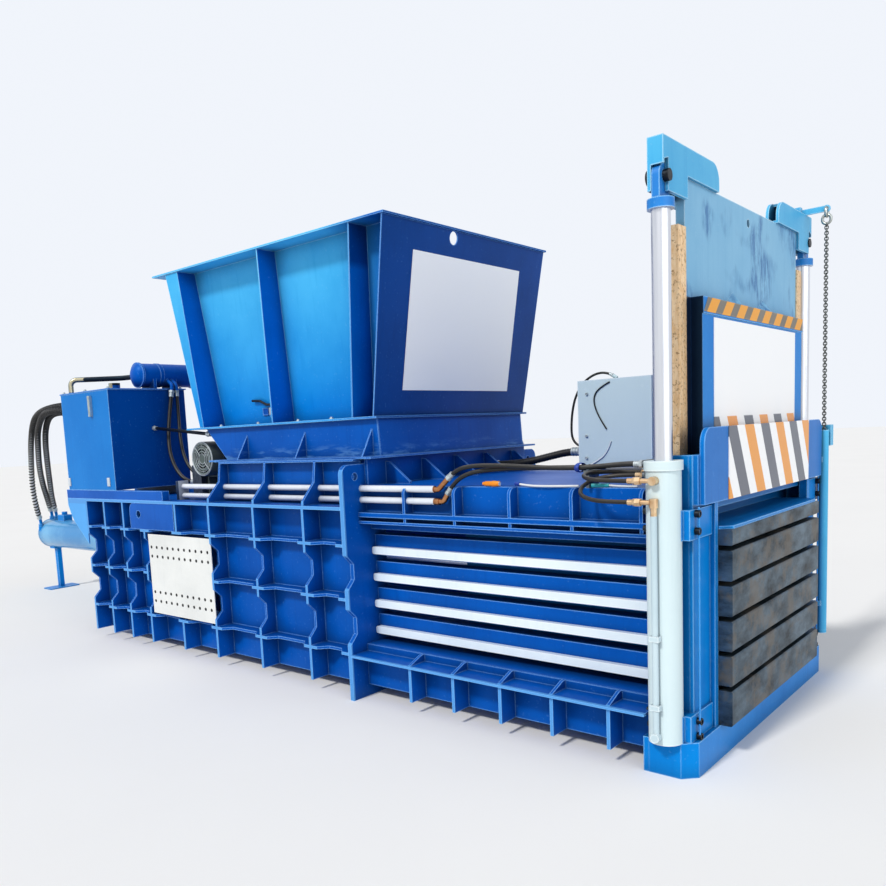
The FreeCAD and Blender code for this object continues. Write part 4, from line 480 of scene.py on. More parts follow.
# %% Rubber look
def rubber_look(tree, place, colour, top_dust_and_light_colour, roughness=0.5):
    """Extruded rubber or PVC cover whose upper side is paler: dirt settled there, and painted light from
    above.
    """
    cloud = add(tree, "ShaderNodeTexNoise", {"Vector": place, "Scale": 22.0, "Detail": 4.0}).outputs["Fac"]
    # upper side paler: dust, and painted light from above
    normal = add(tree, "ShaderNodeNewGeometry").outputs["Normal"]
    upward = add(tree, "ShaderNodeSeparateXYZ", {0: normal}).outputs["Z"]
    dust = add(tree, "ShaderNodeMapRange", {"Value": overlap(tree, upward, cloud), "From Min": 0.1,
                                            "From Max": 0.6, "To Max": 0.55}).outputs[0]
    rough = add(tree, "ShaderNodeMapRange", {"Value": cloud, "To Min": roughness - 0.05,
                                             "To Max": roughness + 0.1}).outputs[0]
    return {"colour": coats(tree, linear(colour), (dust, top_dust_and_light_colour)), "rough": rough, "metal": 0.0,
            "height": cloud}


# %% Joining looks and closing a material
def mixed(tree, mask, first, second):
    """Two looks on one part, parted by a mask."""
    look = {"colour": add(tree, "ShaderNodeMix", {0: mask, 6: first["colour"], 7: second["colour"]},
                          data_type="RGBA").outputs[2]}
    for key in ("rough", "metal", "height"):
        look[key] = add(tree, "ShaderNodeMix", {0: mask, 2: first[key], 3: second[key]},
                        data_type="FLOAT").outputs[0]
    return look


def beyond(tree, place, axis, edge, soft=0.002, turn=False):
    """Mask that is 1 where a coordinate is larger than an edge, or smaller where turned."""
    value = add(tree, "ShaderNodeSeparateXYZ", {0: place}).outputs[axis]
    low, high = (edge + soft, edge - soft) if turn else (edge - soft, edge + soft)
    return add(tree, "ShaderNodeMapRange", {"Value": value, "From Min": low, "From Max": high}).outputs[0]


def painted_lit_edges(tree, place, look, start, end):
    """A look whose plate edges, further out from the centre plane than start to end, are painted paler: a
    painted highlight where they catch the sun.
    """
    across = add(tree, "ShaderNodeSeparateXYZ", {0: place}).outputs["Y"]
    outward = add(tree, "ShaderNodeMath", {0: across}, operation="ABSOLUTE").outputs[0]
    pale = add(tree, "ShaderNodeMapRange", {"Value": outward, "From Min": start, "From Max": end,
                                            "To Max": 0.55}).outputs[0]
    return dict(look, colour=coats(tree, look["colour"], (pale, "#6CB6F2")))


def close(made, tree, look, depth=0.0006, bump=0.3, **sockets):
    """The shader of a look, with the values that are the same all over set on its own sockets."""
    relief = add(tree, "ShaderNodeBump", {"Height": look["height"], "Strength": bump, "Distance": depth})
    shader = add(tree, "ShaderNodeBsdfPrincipled", {"Base Color": look["colour"], "Roughness": look["rough"],
                                                    "Metallic": look["metal"],
                                                    "Normal": relief.outputs[0]})
    for key, value in sockets.items():
        shader.inputs[key.replace("_", " ")].default_value = value
    add(tree, "ShaderNodeOutputMaterial", {"Surface": shader.outputs[0]})
    return made


def begin(name):
    """A new material, its tree, and its object coordinates."""
    made, tree = new_material(name)
    return made, tree, add(tree, "ShaderNodeTexCoord").outputs["Object"]


PAINT = {"Specular_IOR_Level": 0.24, "IOR": 1.5}
# pigment near the surface colours what a blue coat reflects at a low angle, so its gloss looks blue too
BLUE = dict(PAINT, Specular_Tint=(0.16, 0.54, 1.0, 1.0))


def enamel(name, *colours, gloss=0.0, kind=PAINT, edges=None, **looks):
    """Sprayed enamel, with a painted highlight on plate edges where their distance from the centre plane is
    given.
    """
    made, tree, place = begin(name)
    look = paint_look(tree, place, *colours, **looks)
    if edges:
        look = painted_lit_edges(tree, place, look, *edges)
    return close(made, tree, look, bump=0.06, depth=0.002, Coat_Weight=gloss, Coat_Roughness=0.1, **kind)


def metal(name, *values, **looks):
    """Bare metal."""
    made, tree, place = begin(name)
    return close(made, tree, metal_look(tree, place, *values, **looks))


def rubber(name, *values, **looks):
    """Rubber, cloth or plastic."""
    made, tree, place = begin(name)
    return close(made, tree, rubber_look(tree, place, *values, **looks), depth=0.002, IOR=1.5,
                 Specular_IOR_Level=0.4)


# %% [markdown]
# ### The paints
# Two blues were sprayed: a deep royal on the press box and a lighter azure on tank, hopper walls and gate
# frame. An alkyd enamel has an IOR near 1.5 and, a season after spraying, a roughness near 0.35. The
# cabinet is powder coated in pale grey: softer gloss, no runs. The lift cylinders are sprayed nearly white.

# %% The paints
ROYAL = ("#0056B6", "#003E90", "#8CC6FF")
AZURE = ("#0084D8", "#0068BE", "#A4DEFF")
PALE_AZURE = ("#58B8E4", "#3098D4", "#C8ECFC")
royal_enamel = enamel("royal_blue_enamel", *ROYAL, kind=BLUE)
# rib plates: a painted highlight on their outer edges
ribbed_enamel = enamel("royal_enamel_on_rib_plates", *ROYAL, kind=BLUE, edges=(1.045, 1.049))
azure_enamel = enamel("azure_blue_enamel", *AZURE, gloss=0.05, kind=BLUE)
head_enamel = enamel("azure_gate_head_enamel", "#0A70C4", "#0458A4", "#8CC6FF", kind=BLUE)
pale_azure_enamel = enamel("pale_azure_enamel", *PALE_AZURE, kind=BLUE)
powder_enamel = enamel("pale_cylinder_enamel", "#D0E2E6", "#BCD0D6", "#F4FAFC", roughness=0.34, mottle=0.12,
                       dust=0.3, grime="#6C808C")
white_enamel = enamel("white_enamel", "#E6F2F8", "#CCDCE8", "#FFFFFF", roughness=0.36, dust=0.2,
                      grime="#24508C")
grey_enamel = enamel("cabinet_powder_coat", "#C4D9E0", "#B2C8D0", "#E4F0F4", roughness=0.46, mottle=0.10,
                     streaks=0.12, grime="#667A84")
# the access panel is hot-dip galvanised sheet that has gone chalky, so it shows as near-white and matt
panel_finish = enamel("chalky_galvanised_panel", "#E2E4E2", "#CACDCC", "#F8F8F8", roughness=0.5, mottle=0.3,
                      streaks=0.25, dust=0.3, grime="#808A90")
olive_enamel = enamel("motor_grey_enamel", "#566260", "#3A4442", "#96A6A2", roughness=0.42)
# hydraulic cylinder tube under a thin clear blue coat: bright, with long soft reflections
barrel_enamel = enamel("clear_blue_on_steel_tube", "#62ABDA", "#2E86C4", "#D8ECF8", gloss=0.6, roughness=0.26,
                       mottle=0.5, streaks=0.1)
pale_tab = enamel("pale_tab_enamel", "#C4CED6", "#9FB0BE", "#F2F6F8", roughness=0.42, dust=0.3)
print("twelve paints")

# %% [markdown]
# ### The metals
# Bare steel shows how it was made. A chromed rod is ground bright, a platen block is mill-scaled and
# scraped, a guide bar is wiped with grease, zinc sheet has a soft spangle. Brass fittings are turned from
# bar. A metal keeps the default IOR: its colour is its reflectance, and roughness does the rest.

# %% The metals
# hard chrome, ground: bright with a violet-grey cast and fine drawn lines along the rod
CHROME = ("#E6E8EA", "#CACCD4", 0.30)
chrome = metal("ground_chrome_rod", *CHROME, scale=(60.0, 60.0, 2.0))
# hot-rolled block: grey mill scale, scraped bright in patches, rust-brown stains about 100 mm wide
scaled_steel = metal("mill_scaled_block", "#607686", "#242E36", 0.44, scale=(4.0, 4.0, 9.0), spots=0.7,
                     spot_colour="#544A3C", spot_scale=4.0, spot_edge=0.50, spread_by=0.35)
# guide bar under old grease: golden tan with fine dark specks
greased_steel = metal("greased_guide_bar", "#FFE6C0", "#E0B47C", 0.48, scale=(60.0, 60.0, 16.0), spots=0.8,
                      spot_colour="#8A5F30", spot_scale=70.0)
# sand-cast then machined iron: manifold and pump
cast_iron = metal("machined_cast_iron", "#7C848A", "#4B5258", 0.45, scale=(30.0,) * 3, spots=0.3)
# turned brass: yellow, fairly bright, browned where hands and oil have been
BRASS = ("#EED4AE", "#C09468", 0.30)
brass = metal("turned_brass", *BRASS, scale=(25.0,) * 3, spots=0.15)
# galvanised sheet: pale, soft spangle about 20 mm
zinc = metal("galvanised_sheet", "#C9D0D2", "#A9B2B6", 0.55, scale=(14.0,) * 3, spread_by=0.3)
# blackened steel: socket screws, chain links
black_steel = metal("blackened_steel", "#3A3E42", "#202326", 0.42, scale=(40.0,) * 3, spots=0.2)
shackle_zinc = metal("zinc_plated_shackle", "#C6CAC6", "#8A8E8A", 0.30, scale=(40.0,) * 3, spots=0.2)
chain_steel = metal("zinc_plated_chain", "#7E8280", "#3E4240", 0.36, scale=(60.0,) * 3, spots=0.3)
print("nine metals")

# %% [markdown]
# ### Rubber and plastic
# Hose rubber is black, and like the plastics it is paler on top, with dust and with painted light from
# above. The long hoses are pale-sleeved under a black guard coil, which is what makes them look banded.
# Cable covers, the tie and the plug are moulded plastics.

# %% Rubber and plastic
hose_rubber = rubber("hose_rubber", "#131416", "#6A6660", roughness=0.42)
olive_rubber = rubber("aged_hose_rubber", "#1C1814", "#504A40", roughness=0.38)
sleeve_cloth = rubber("pale_hose_sleeve", "#D4D8DC", "#FFFFFF", roughness=0.6)
guard_coil = rubber("black_guard_coil", "#08080A", "#24262A", roughness=0.4)
bundle_pvc = rubber("corrugated_pvc", "#0B0B0D", "#303338", roughness=0.48)
orange_plastic = rubber("orange_moulded_plastic", "#E8860C", "#FFB347", roughness=0.35)
teal_plastic = rubber("teal_moulded_plastic", "#1F9CA8", "#8FE0E0", roughness=0.35)
blue_tie_nylon = rubber("blue_nylon_tie", "#0B2E8C", "#3D66C8", roughness=0.4)
pale_wire = rubber("pale_wire_cover", "#D6DADD", "#FFFFFF", roughness=0.45)
for name, cord in cords.items():
    cover = {"tank": sleeve_cloth, "near": olive_rubber}.get(name.split("_")[0], hose_rubber)
    cord.data.materials.append(bundle_pvc if name == "cable_bundle" else cover)
print("nine covers")

# %% [markdown]
# ## Hose ferrules
# A hose end is a hex nut and a steel ferrule, crimped on the hose by eight jaws that leave shallow rings.
# One is shaped in units of the hose's radius: a six-sided bar, then its top face is extruded and resized
# ring by ring. Turning it with a spin would need a profile first, and this way the steps can be read.

# %% Ferrules
def stepped_bar(sides, radius, steps):
    """A bar along Z that starts at the origin: each step extrudes the top face and resizes it."""
    top = steps[0][0]
    bar_between((0, 0, 0), (0, 0, top), radius, sides)
    edit_mode()
    for height, scale in steps[1:]:
        pick(lambda centre, normal: normal.z > 0.9 and centre.z > top - 1e-4)
        extrude(height)
        bpy.ops.transform.resize(value=(scale, scale, 1.0))
        top += height
    return object_mode()


def hose_end():
    """Nut and crimped ferrule for a hose of radius 1, going up the hose."""
    nut = stepped_bar(6, 1.62, [(1.1, 1.0), (0.12, 0.93)])
    sleeve = stepped_bar(20, 1.32, [(1.5, 1.0), (0.10, 0.90), (0.35, 1.0), (0.10, 1.11), (0.4, 1.0),
                                    (0.10, 0.90), (0.35, 1.0), (0.10, 1.11), (0.5, 1.0), (0.12, 0.88)])
    return joined(nut, sleeve)


for name, (thickness, length, points) in HOSES.items():
    line = line_of(cords[name])
    # the cable bundle's end is a little slimmer than its ribs
    size = (thickness / 2 * (0.95 if name == "cable_bundle" else 1.0),) * 3
    hose_end()
    spread([aim(a, b - a, size) for a, b in (line[:2], line[:-3:-1])], name + "_ends",
                        brass if name.startswith("near") else zinc, angle=30)

# %% [markdown]
# ### How each hose is attached
# Every hose here leaves one fitting and goes into another on the object itself. Each is fixed to the
# frame body, and the CAD hose it replaces is hidden.
# The thin ones are short and stiff, and the three long ones to the main cylinder hang in a slack line.

for name, wound in wraps.items():
    wound.data.materials.append(bundle_pvc if name == "cable_bundle" else guard_coil)
    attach(wound, "frame")
for name, (thickness, length, points) in HOSES.items():
    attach(cords[name], "frame")
    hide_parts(name)
print("declared", len(HOSES), "cords")

# %% [markdown]
# ## Screws
# Screws show where the machine can be taken apart. A socket screw is a round bar with a bevelled rim and
# a hole for the key: the hole's face is inset and extruded down. A hex bolt has a washer under it. Both
# are modelled at radius 1, then copied to each place with their own size.

# %% Socket screws on the lift cylinder clamps
def socket_screw():
    """Socket head of radius 1, 1.2 high, with its foot a little below the XY plane."""
    bar_between((0, 0, -0.3), (0, 0, 1.1), 1.0)
    edit_mode()
    pick(lambda centre, normal: normal.z > 0.9)
    bpy.ops.mesh.inset(thickness=0.10)
    bpy.ops.transform.translate(value=(0, 0, 0.08))
    bpy.ops.mesh.inset(thickness=0.36)
    extrude(-0.65)
    object_mode()


def both_sides(places):
    """These places and their mirror image on the far side."""
    return places + [Matrix.Diagonal((1.0, -1.0, 1.0, 1.0)) @ place for place in places]


FRONT_SCREWS = ((-0.932, 1.186), (-0.933, 1.110), (-0.920, 0.248), (-0.921, 0.179))
REAR_SCREWS = ((-0.996, 1.199), (-0.998, 1.123), (-0.985, 0.283), (-0.978, 0.215))
places = [aim((4.137, y, z), (1, 0, 0), (0.0165, 0.0165, 0.019)) for y, z in FRONT_SCREWS]
places += [aim((3.950, y, z), (-1, 0, 0), (0.0145, 0.0145, 0.017)) for y, z in REAR_SCREWS]
socket_screw()
spread(both_sides(places), "clamp_screws", black_steel)
print(2 * len(places), "socket screws")

# %% [markdown]
# ### Hex bolts
# The tank lid and the flange under the hopper are held by ordinary hex bolts, 24 mm across. A six-sided
# bar gets its chamfer by resizing the last thin step of its top.

# %% Hex bolts
def hex_bolt():
    """Washer and hex head across corners 2, standing on the XY plane, with a bit of thread on top."""
    washer = stepped_bar(24, 1.45, [(0.16, 1.0), (0.05, 0.95)])
    head = stepped_bar(6, 1.0, [(0.80, 1.0), (0.10, 0.86)])
    thread = stepped_bar(16, 0.52, [(1.15, 1.0), (0.08, 0.8)])
    joined(washer, head, thread)


lid_bolts = [(x, y, 2.052) for x in (-1.180, -0.826, -0.472) for y in (-1.035, -0.375)]
base_bolts = [(x, s * 0.800, 1.7015) for s in (-1, 1) for x in (0.633, 1.050, 1.459, 1.772)]
hex_bolt()
spread([aim(p, (0, 0, 1), (0.012,) * 3) for p in lid_bolts + base_bolts], "hex_bolts", zinc)
print(len(lid_bolts + base_bolts), "hex bolts")

# %% [markdown]
# ### Dark fillers in the access panel holes
# The holes of the access panel read as black dots, from the shade inside them. Each gets a black rubber
# filler with a thin lip and a dished middle, pushed in from outside, which puts painted shade there. It is
# made from a short bar whose top is inset and pushed back in.

# %% Hole fillers as painted shade
def hole_shade_filler():
    """Black filler of radius 1 with a thin lip and a dished middle, standing on the XY plane; it paints the
    shade in a hole.
    """
    stepped_bar(16, 1.0, [(0.12, 1.0), (0.06, 0.86)])
    edit_mode()
    pick(lambda centre, normal: normal.z > 0.9 and centre.z > 0.17)
    bpy.ops.mesh.inset(thickness=0.22)
    extrude(-0.10)
    object_mode()


PANEL_FACE = 1.050
holes = [(-0.014 + 0.0713 * i, z) for z in (0.407, 0.477, 0.753, 0.823) for i in range(11)]
hole_shade_filler()
spread([aim((x, s * PANEL_FACE, z), (0, s, 0), (0.0115,) * 3) for s in (-1, 1) for x, z in holes],
       "panel_hole_shade_fillers", guard_coil)
print(2 * len(holes), "grommets")

# %% [markdown]
# ## Weld beads
# The cells of the press box are welded by hand, so each inner corner has a rippled bead, about 9 mm wide
# with a ripple each 9 mm. A bead is a short round bar whose end face is extruded again and again, wider
# and narrower by turns. It lies in the corner, half inside both plates, as the real one is fused to both.

# %% Weld beads in the cells
BEAD, RIPPLES = 0.1, 11


def weld_bead():
    """A rippled bead along Z, from the origin."""
    half = BEAD / RIPPLES / 2
    return stepped_bar(8, 0.0046, [(half, 1.0), (half, 0.80)] + [(half, 1.25), (half, 0.80)] * (RIPPLES - 1))


STEP = 0.103  # a bead and the gap to the next one
RIB_X = (-0.951, -0.662, -0.378, -0.088, 0.341, 0.750, 1.242, 1.727)
STIFF_Z = (0.287, 0.620, 0.946)
WALL_Y, RIB_Y, HALF_T = -0.922, -1.058, 0.009
places = []
for x in RIB_X[1:]:
    front = x + HALF_T
    for z in STIFF_Z:
        if not (-0.06 < front < 0.75 and 0.30 < z < 0.93):  # else it lies behind the access panel
            # along the crossing of rib and stiffener, out from the wall
            places.append(aim((front, RIB_Y + 0.012, z + HALF_T), (0, 1, 0)))
    for z0 in (0.296, 0.629):
        if not (-0.10 < front < 0.75):
            # up the corner of rib and wall, in three lengths as a welder makes them
            places += [aim((front, WALL_Y, z0 + 0.004 + STEP * i), (0, 0, 1)) for i in range(3)]
for x0, x1 in zip(RIB_X, RIB_X[1:]):
    if not (-0.10 < x0 < 0.74):
        count = int((x1 - x0 - 0.03) / STEP)
        for z in STIFF_Z:
            places += [aim((x0 + 0.015 + STEP * i, WALL_Y, z + HALF_T), (1, 0, 0)) for i in range(count)]
weld_bead()
spread(both_sides(places), "cell_welds", royal_enamel, angle=60)
print(2 * len(places), "beads in the cells")

# %% [markdown]
# ### Longer runs
# The hopper base and the gate posts are welded outside, where the run is long and straight, and each beam
# of the chamber has a short bead where it meets the portal.

# %% Weld runs on the hopper base, beams and posts
def run(start, end):
    """Places of beads that make one run between two points."""
    reach = Vector(end) - Vector(start)
    count = max(1, round(reach.length / BEAD))
    scale = reach.length / (BEAD * count)
    return [aim(Vector(start) + reach * i / count, reach, (1.15, 1.15, scale)) for i in range(count)]


weld_bead()
spread(run((0.612, -0.8655, 1.4515), (2.06, -0.8655, 1.4515)), "base_weld_near", azure_enamel, angle=60)
weld_bead()
beams = [run((2.0965, -0.802, z), (2.0965, -0.704, z))[:1] for z in (0.365, 0.530, 0.695, 0.860)]
posts = run((4.1515, -0.930, 0.170), (4.1515, -0.930, 1.215))
spread(sum(beams, []) + both_sides(posts), "post_welds", azure_enamel, angle=60)
print("runs welded")

# %% [markdown]
# ## Hazard strip on the door bar
# The bar across the door carries a printed strip with orange and grey bands at 45 degrees. It is a
# 1.4 mm plate whose near end is cut on the slant by a bisecting plane. The bands come from the place across
# and up the strip, one every 185 mm, so no picture has to be laid on it.

# %% Banded look and the strip
def banded_look(tree, place, base, bands, pitch, lean, phase=0.0):
    """Slanted bands over a base look, repeated along Y. Each lies between two shares of the pitch."""
    parts = add(tree, "ShaderNodeSeparateXYZ", {0: place}).outputs
    leaned = add(tree, "ShaderNodeMath", {0: parts["Z"], 1: lean, 2: parts["Y"]},
                 operation="MULTIPLY_ADD").outputs[0]
    # counted from 40 bands away, so that the count never goes below nought
    counted = add(tree, "ShaderNodeMath", {0: leaned, 1: 1 / pitch, 2: 40 + phase},
                  operation="MULTIPLY_ADD").outputs[0]
    within = add(tree, "ShaderNodeMath", {0: counted}, operation="FRACT").outputs[0]
    look = base
    for low, high, colour in bands:
        over = add(tree, "ShaderNodeMath", {0: within, 1: low}, operation="GREATER_THAN").outputs[0]
        under = add(tree, "ShaderNodeMath", {0: within, 1: high}, operation="LESS_THAN").outputs[0]
        look = mixed(tree, overlap(tree, over, under), look, dict(look, colour=linear(colour)))
    return look


STRIP_PITCH, STRIP_HALF = 0.185, 0.742
made, tree, place = begin("hazard_strip_vinyl")
vinyl = paint_look(tree, place, "#7C776E", "#6A655C", "#A5A096", roughness=0.4, dust=0.2, streaks=0.1)
look = banded_look(tree, place, vinyl, [(0.0, 0.55, "#F0A63C")], STRIP_PITCH, -1.0)
hazard_vinyl = close(made, tree, look, bump=0.05, **PAINT)

box_between((4.1052, -STRIP_HALF, 2.066), (4.1066, STRIP_HALF, 2.131))
edit_mode()
bpy.ops.mesh.select_all(action="SELECT")
bpy.ops.mesh.bisect(plane_co=(4.106, -STRIP_HALF, 2.066), plane_no=(0, -0.8, 0.6), clear_outer=True,
                    use_fill=True)
finish_piece("hazard_strip", hazard_vinyl, body="gate")
print("strip", round(2 * STRIP_HALF / STRIP_PITCH, 1), "bands long")

# %% [markdown]
# ## Hanging chain
# The gate pulls a chain up and down in a guide tube, which drives the limit switch. It is a 6 mm short-link
# chain: each link is a ring stretched a little, and every second one is turned by 90 degrees. One ring is
# made, its upper half is moved up in edit mode, and the copies hang under each other by one link pitch.

# %% Chain
CHAIN_AT = (4.172, 0.962)
LINK_PITCH, TOP_Z, LOW_Z = 0.0158, 2.676, 1.288


def ring(major, minor, around, across, at=(0, 0, 0), turned=(0, math.pi / 2, 0), stretch=0.0):
    """A ring, drawn out along Z by moving its upper half. Its axis is X unless it is turned."""
    bpy.ops.object.select_all(action="DESELECT")
    bpy.ops.mesh.primitive_torus_add(major_radius=major, minor_radius=minor, major_segments=around,
                                     minor_segments=across, location=at, rotation=turned)
    settled()
    if stretch:
        edit_mode()
        mesh = bmesh.from_edit_mesh(bpy.context.object.data)
        bpy.ops.mesh.select_mode(type="VERT")
        for vertex in mesh.verts:
            vertex.select_set(vertex.co.z > 0.0001)
        mesh.select_flush_mode()
        bpy.ops.transform.translate(value=(0, 0, stretch))
        object_mode()
    return bpy.context.object


def hung(z, quarters, sway=0.0):
    """The place of a link at a height, turned by quarters and a little sway."""
    return Matrix.Translation((*CHAIN_AT, z)) @ Matrix.Rotation(math.pi / 2 * quarters + sway, 4, "Z")


count = int((TOP_Z - LOW_Z) / LINK_PITCH)
ring(0.0094, 0.0033, 14, 7, stretch=0.0038)
links = spread([hung(TOP_Z - i * LINK_PITCH, i % 2, 0.024 * math.sin(i * 1.7)) for i in range(count)],
               "chain_links", chain_steel, body="gate", angle=60)
ring(0.0225, 0.0085, 28, 10, stretch=0.006)
shackle = spread([hung(2.7457, 0), hung(2.706, 1)], "chain_shackle", shackle_zinc, body="gate", angle=60)
chain = joined(links, shackle)
chain.name = "chain"
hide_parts("hang_chain")
print(count, "links")

# %% [markdown]
# ## Power unit details
# The tank's level gauge is a glass tube behind a slotted guard. The fan cowl of the motor ends in a grille
# of galvanised wire: rings around the shaft, joined by four spokes.

# %% Fan grille
FAN, ON_END = Vector((0.229, -0.7015, 1.469)), (math.pi / 2, 0, 0)
pieces = [ring(radius, 0.0022, 40, 6, FAN, ON_END) for radius in (0.118, 0.098, 0.078, 0.058, 0.038)]
for quarter in range(4):
    angle = math.pi / 4 + math.pi / 2 * quarter
    outward = Vector((math.cos(angle), 0, math.sin(angle)))
    pieces.append(bar_between(FAN + outward * 0.036, FAN + outward * 0.124, 0.003, 8))
joined(*pieces)
finish_piece("fan_grille", zinc)
ring(0.1275, 0.0042, 48, 8, FAN + Vector((0, 0.001, 0)), ON_END)
finish_piece("fan_rim", zinc, angle=60)
print("grille of", len(pieces), "wires")

# %% Level gauge and tank tabs
made, tree, place = begin("sight_glass")
ripple = add(tree, "ShaderNodeTexNoise", {"Vector": place, "Scale": 30.0}).outputs["Fac"]
glass = {"colour": linear("#E8F2E0"), "rough": 0.08, "metal": 0.0, "height": ripple}
sight_glass = close(made, tree, glass, bump=0.02, IOR=1.49, Transmission_Weight=0.75)
bar_between((-0.716, -1.0670, 1.866), (-0.716, -1.0670, 1.982), 0.0115)
finish_piece("gauge_glass", sight_glass)
tabs = []
for x, z in ((-1.182, 1.315), (-0.542, 1.317)):
    box_between((x - 0.018, -1.0635, z - 0.034), (x + 0.018, -1.0545, z + 0.034))
    edit_mode()
    pick(lambda centre, normal: normal.y < -0.9)
    bpy.ops.mesh.inset(thickness=0.007)
    bpy.ops.transform.translate(value=(0, -0.003, 0))
    tabs.append(object_mode())
joined(*tabs)
finish_piece("tank_tabs", pale_tab, bevel=0.0015)
print("gauge and tabs")

# %% [markdown]
# ### Line over the deck
# A thin dark steel line leaves the tank and runs over the deck to the hopper base. It is a straight length
# of tube with a nut and ferrule at either end, so the hose ends above serve for it too.

# %% Line over the deck
start, end = Vector((-0.448, -0.670, 1.730)), Vector((0.470, -0.770, 1.650))
bar_between(start, end, 0.013, 16)
finish_piece("deck_line", black_steel)
hose_end()
spread([aim(start + (end - start) * share, end - start, (0.013,) * 3) for share in (0.0, 0.93)],
       "deck_line_nuts", zinc)
print("deck line", round((end - start).length, 2), "m")

# %% [markdown]
# ### Latch on the hopper side
# A bent steel handle and a keeper sit low on the hopper wall beside the middle rib. The handle is three
# bars that follow its bends, with a ball in each bend to round it, and a pin that goes into the wall.

# %% Latch handle and keeper
FOOT_Y, FOOT_Z = 0.620, 1.702   # foot of the hopper wall
LEAN, RISE = 0.088, 1.127       # how far it leans out over its height


def wall_y(z):
    """Outer face of the near hopper wall at a height."""
    return -(FOOT_Y + LEAN * (z - FOOT_Z) / RISE)


ROD = 0.0085
BENDS = ((0.820, 1.872), (0.905, 1.866), (0.968, 1.838), (1.045, 1.832))
bends = [(x, wall_y(z) - 0.020, z) for x, z in BENDS]
legs = [bar_between(a, b, ROD, 12) for a, b in zip(bends, bends[1:])]
for bend in bends[1:3]:
    bpy.ops.mesh.primitive_uv_sphere_add(segments=12, ring_count=8, radius=ROD, location=bend)
    legs.append(bpy.context.object)
legs.append(bar_between(*[(1.030, wall_y(1.834) + out, 1.834) for out in (0.010, -0.028)], 0.012, 16))
joined(*legs)
finish_piece("latch_handle", black_steel)
box_between((0.985, wall_y(1.755) - 0.022, 1.762), (1.012, wall_y(1.815) + 0.006, 1.815))
finish_piece("latch_keeper", zinc, bevel=0.003)
box_between((0.905, wall_y(1.755) - 0.012, 1.765), (0.965, wall_y(1.815) + 0.008, 1.815))
edit_mode()
pick(lambda centre, normal: normal.y < -0.9)
bpy.ops.mesh.inset(thickness=0.009)
bpy.ops.transform.translate(value=(0, 0.008, 0))
finish_piece("latch_plate", royal_enamel, bevel=0.0015)
print("latch, keeper and plate")

# %% [markdown]
# ## Cabinet and roof details
# The cabinet's near side has a cable that drops from the top and loops toward the lower edge, clipped
# close to the sheet. On the roof lie an orange plug and a small teal one, each with its pale lead, and the
# two gate hoses are bound by a blue tie. All are fixed to the machine, so they are tubes along a path.

# %% Cable tube helper
def tube_along(points, radius, name, finish):
    """A tube through points, with evenly rounded bends: a curve made into a mesh."""
    as_mesh(line_through(name, points, radius, steps=8, sides=3))
    return finish_piece(name, finish, angle=60)


LEAD_Y = 0.4655  # just clear of the sheet
LEADS = (
    ("cabinet_lead", 0.0045, hose_rubber, (
        (3.033, 1.855), (2.985, 1.834), (2.931, 1.795), (2.916, 1.738), (2.939, 1.664), (2.985, 1.584),
        (3.006, 1.555))),
    ("cabinet_lead_pale", 0.004, pale_wire, (
        (3.036, 1.476), (3.013, 1.409), (2.948, 1.352), (2.871, 1.318))))
for name, radius, finish, route in LEADS:
    tube_along([(x, LEAD_Y, z) for x, z in route], radius, name, finish)
socket_screw()
spread([aim((x, 0.470, z), (0, -1, 0), (0.009,) * 3)
        for x, z in ((2.869, 1.788), (2.862, 1.515), (2.859, 1.370))], "cabinet_screws", zinc)
print("cabinet leads and screws")

# %% Plug on the roof and tie round the hoses
stepped_bar(16, 0.0135, [(0.018, 1.0), (0.006, 1.12), (0.020, 1.0), (0.006, 0.88), (0.040, 0.96),
                         (0.006, 0.7), (0.010, 1.0)])
bpy.ops.transform.rotate(value=math.pi / 2, orient_axis="Y", center_override=(0, 0, 0))
bpy.ops.transform.translate(value=(3.070, -0.862, 1.306))
finish_piece("plug_grip", orange_plastic, bevel=0.0008)
tube_along([(3.046, -0.862, 1.306), (3.071, -0.862, 1.306)], 0.0115, "plug_face", pale_wire)
tube_along([(3.168, -0.862, 1.306), (3.196, -0.863, 1.3045)], 0.0095, "plug_sleeve", blue_tie_nylon)
tube_along([(3.605, -0.868, 1.3005), (3.645, -0.852, 1.3005), (3.690, -0.850, 1.3005)], 0.0095, "small_plug",
           teal_plastic)
tube_along([(3.688, -0.850, 1.3005), (3.76, -0.858, 1.2955), (3.83, -0.845, 1.2955)], 0.0045,
           "small_plug_lead", pale_wire)
tube_along([(3.190, -0.863, 1.305), (3.25, -0.866, 1.2975), (3.33, -0.880, 1.2965), (3.44, -0.872, 1.2965),
            (3.53, -0.855, 1.2965)], 0.0055, "plug_lead", pale_wire)
tie = ring(0.0270, 0.0030, 32, 8)
tie.scale = (4.0, 1.55, 0.82)
tie.location = (3.537, -0.8455, 1.386)
finish_piece("hose_tie", blue_tie_nylon, angle=60)
print("plug, lead and tie")

# %% [markdown]
# ## A finish for each CAD part
# A CAD part keeps its mesh and only gets a new material in its slot. Some CAD parts are one node but
# carry two looks, such as a painted lid with a bare steel pipe on it. Those materials choose between two
# looks by place, at an edge where the real part changes too. The tank and hopper instead carry lit and
# shaded copies of their paint, chosen by the way a face looks and by place: painted light and shade.

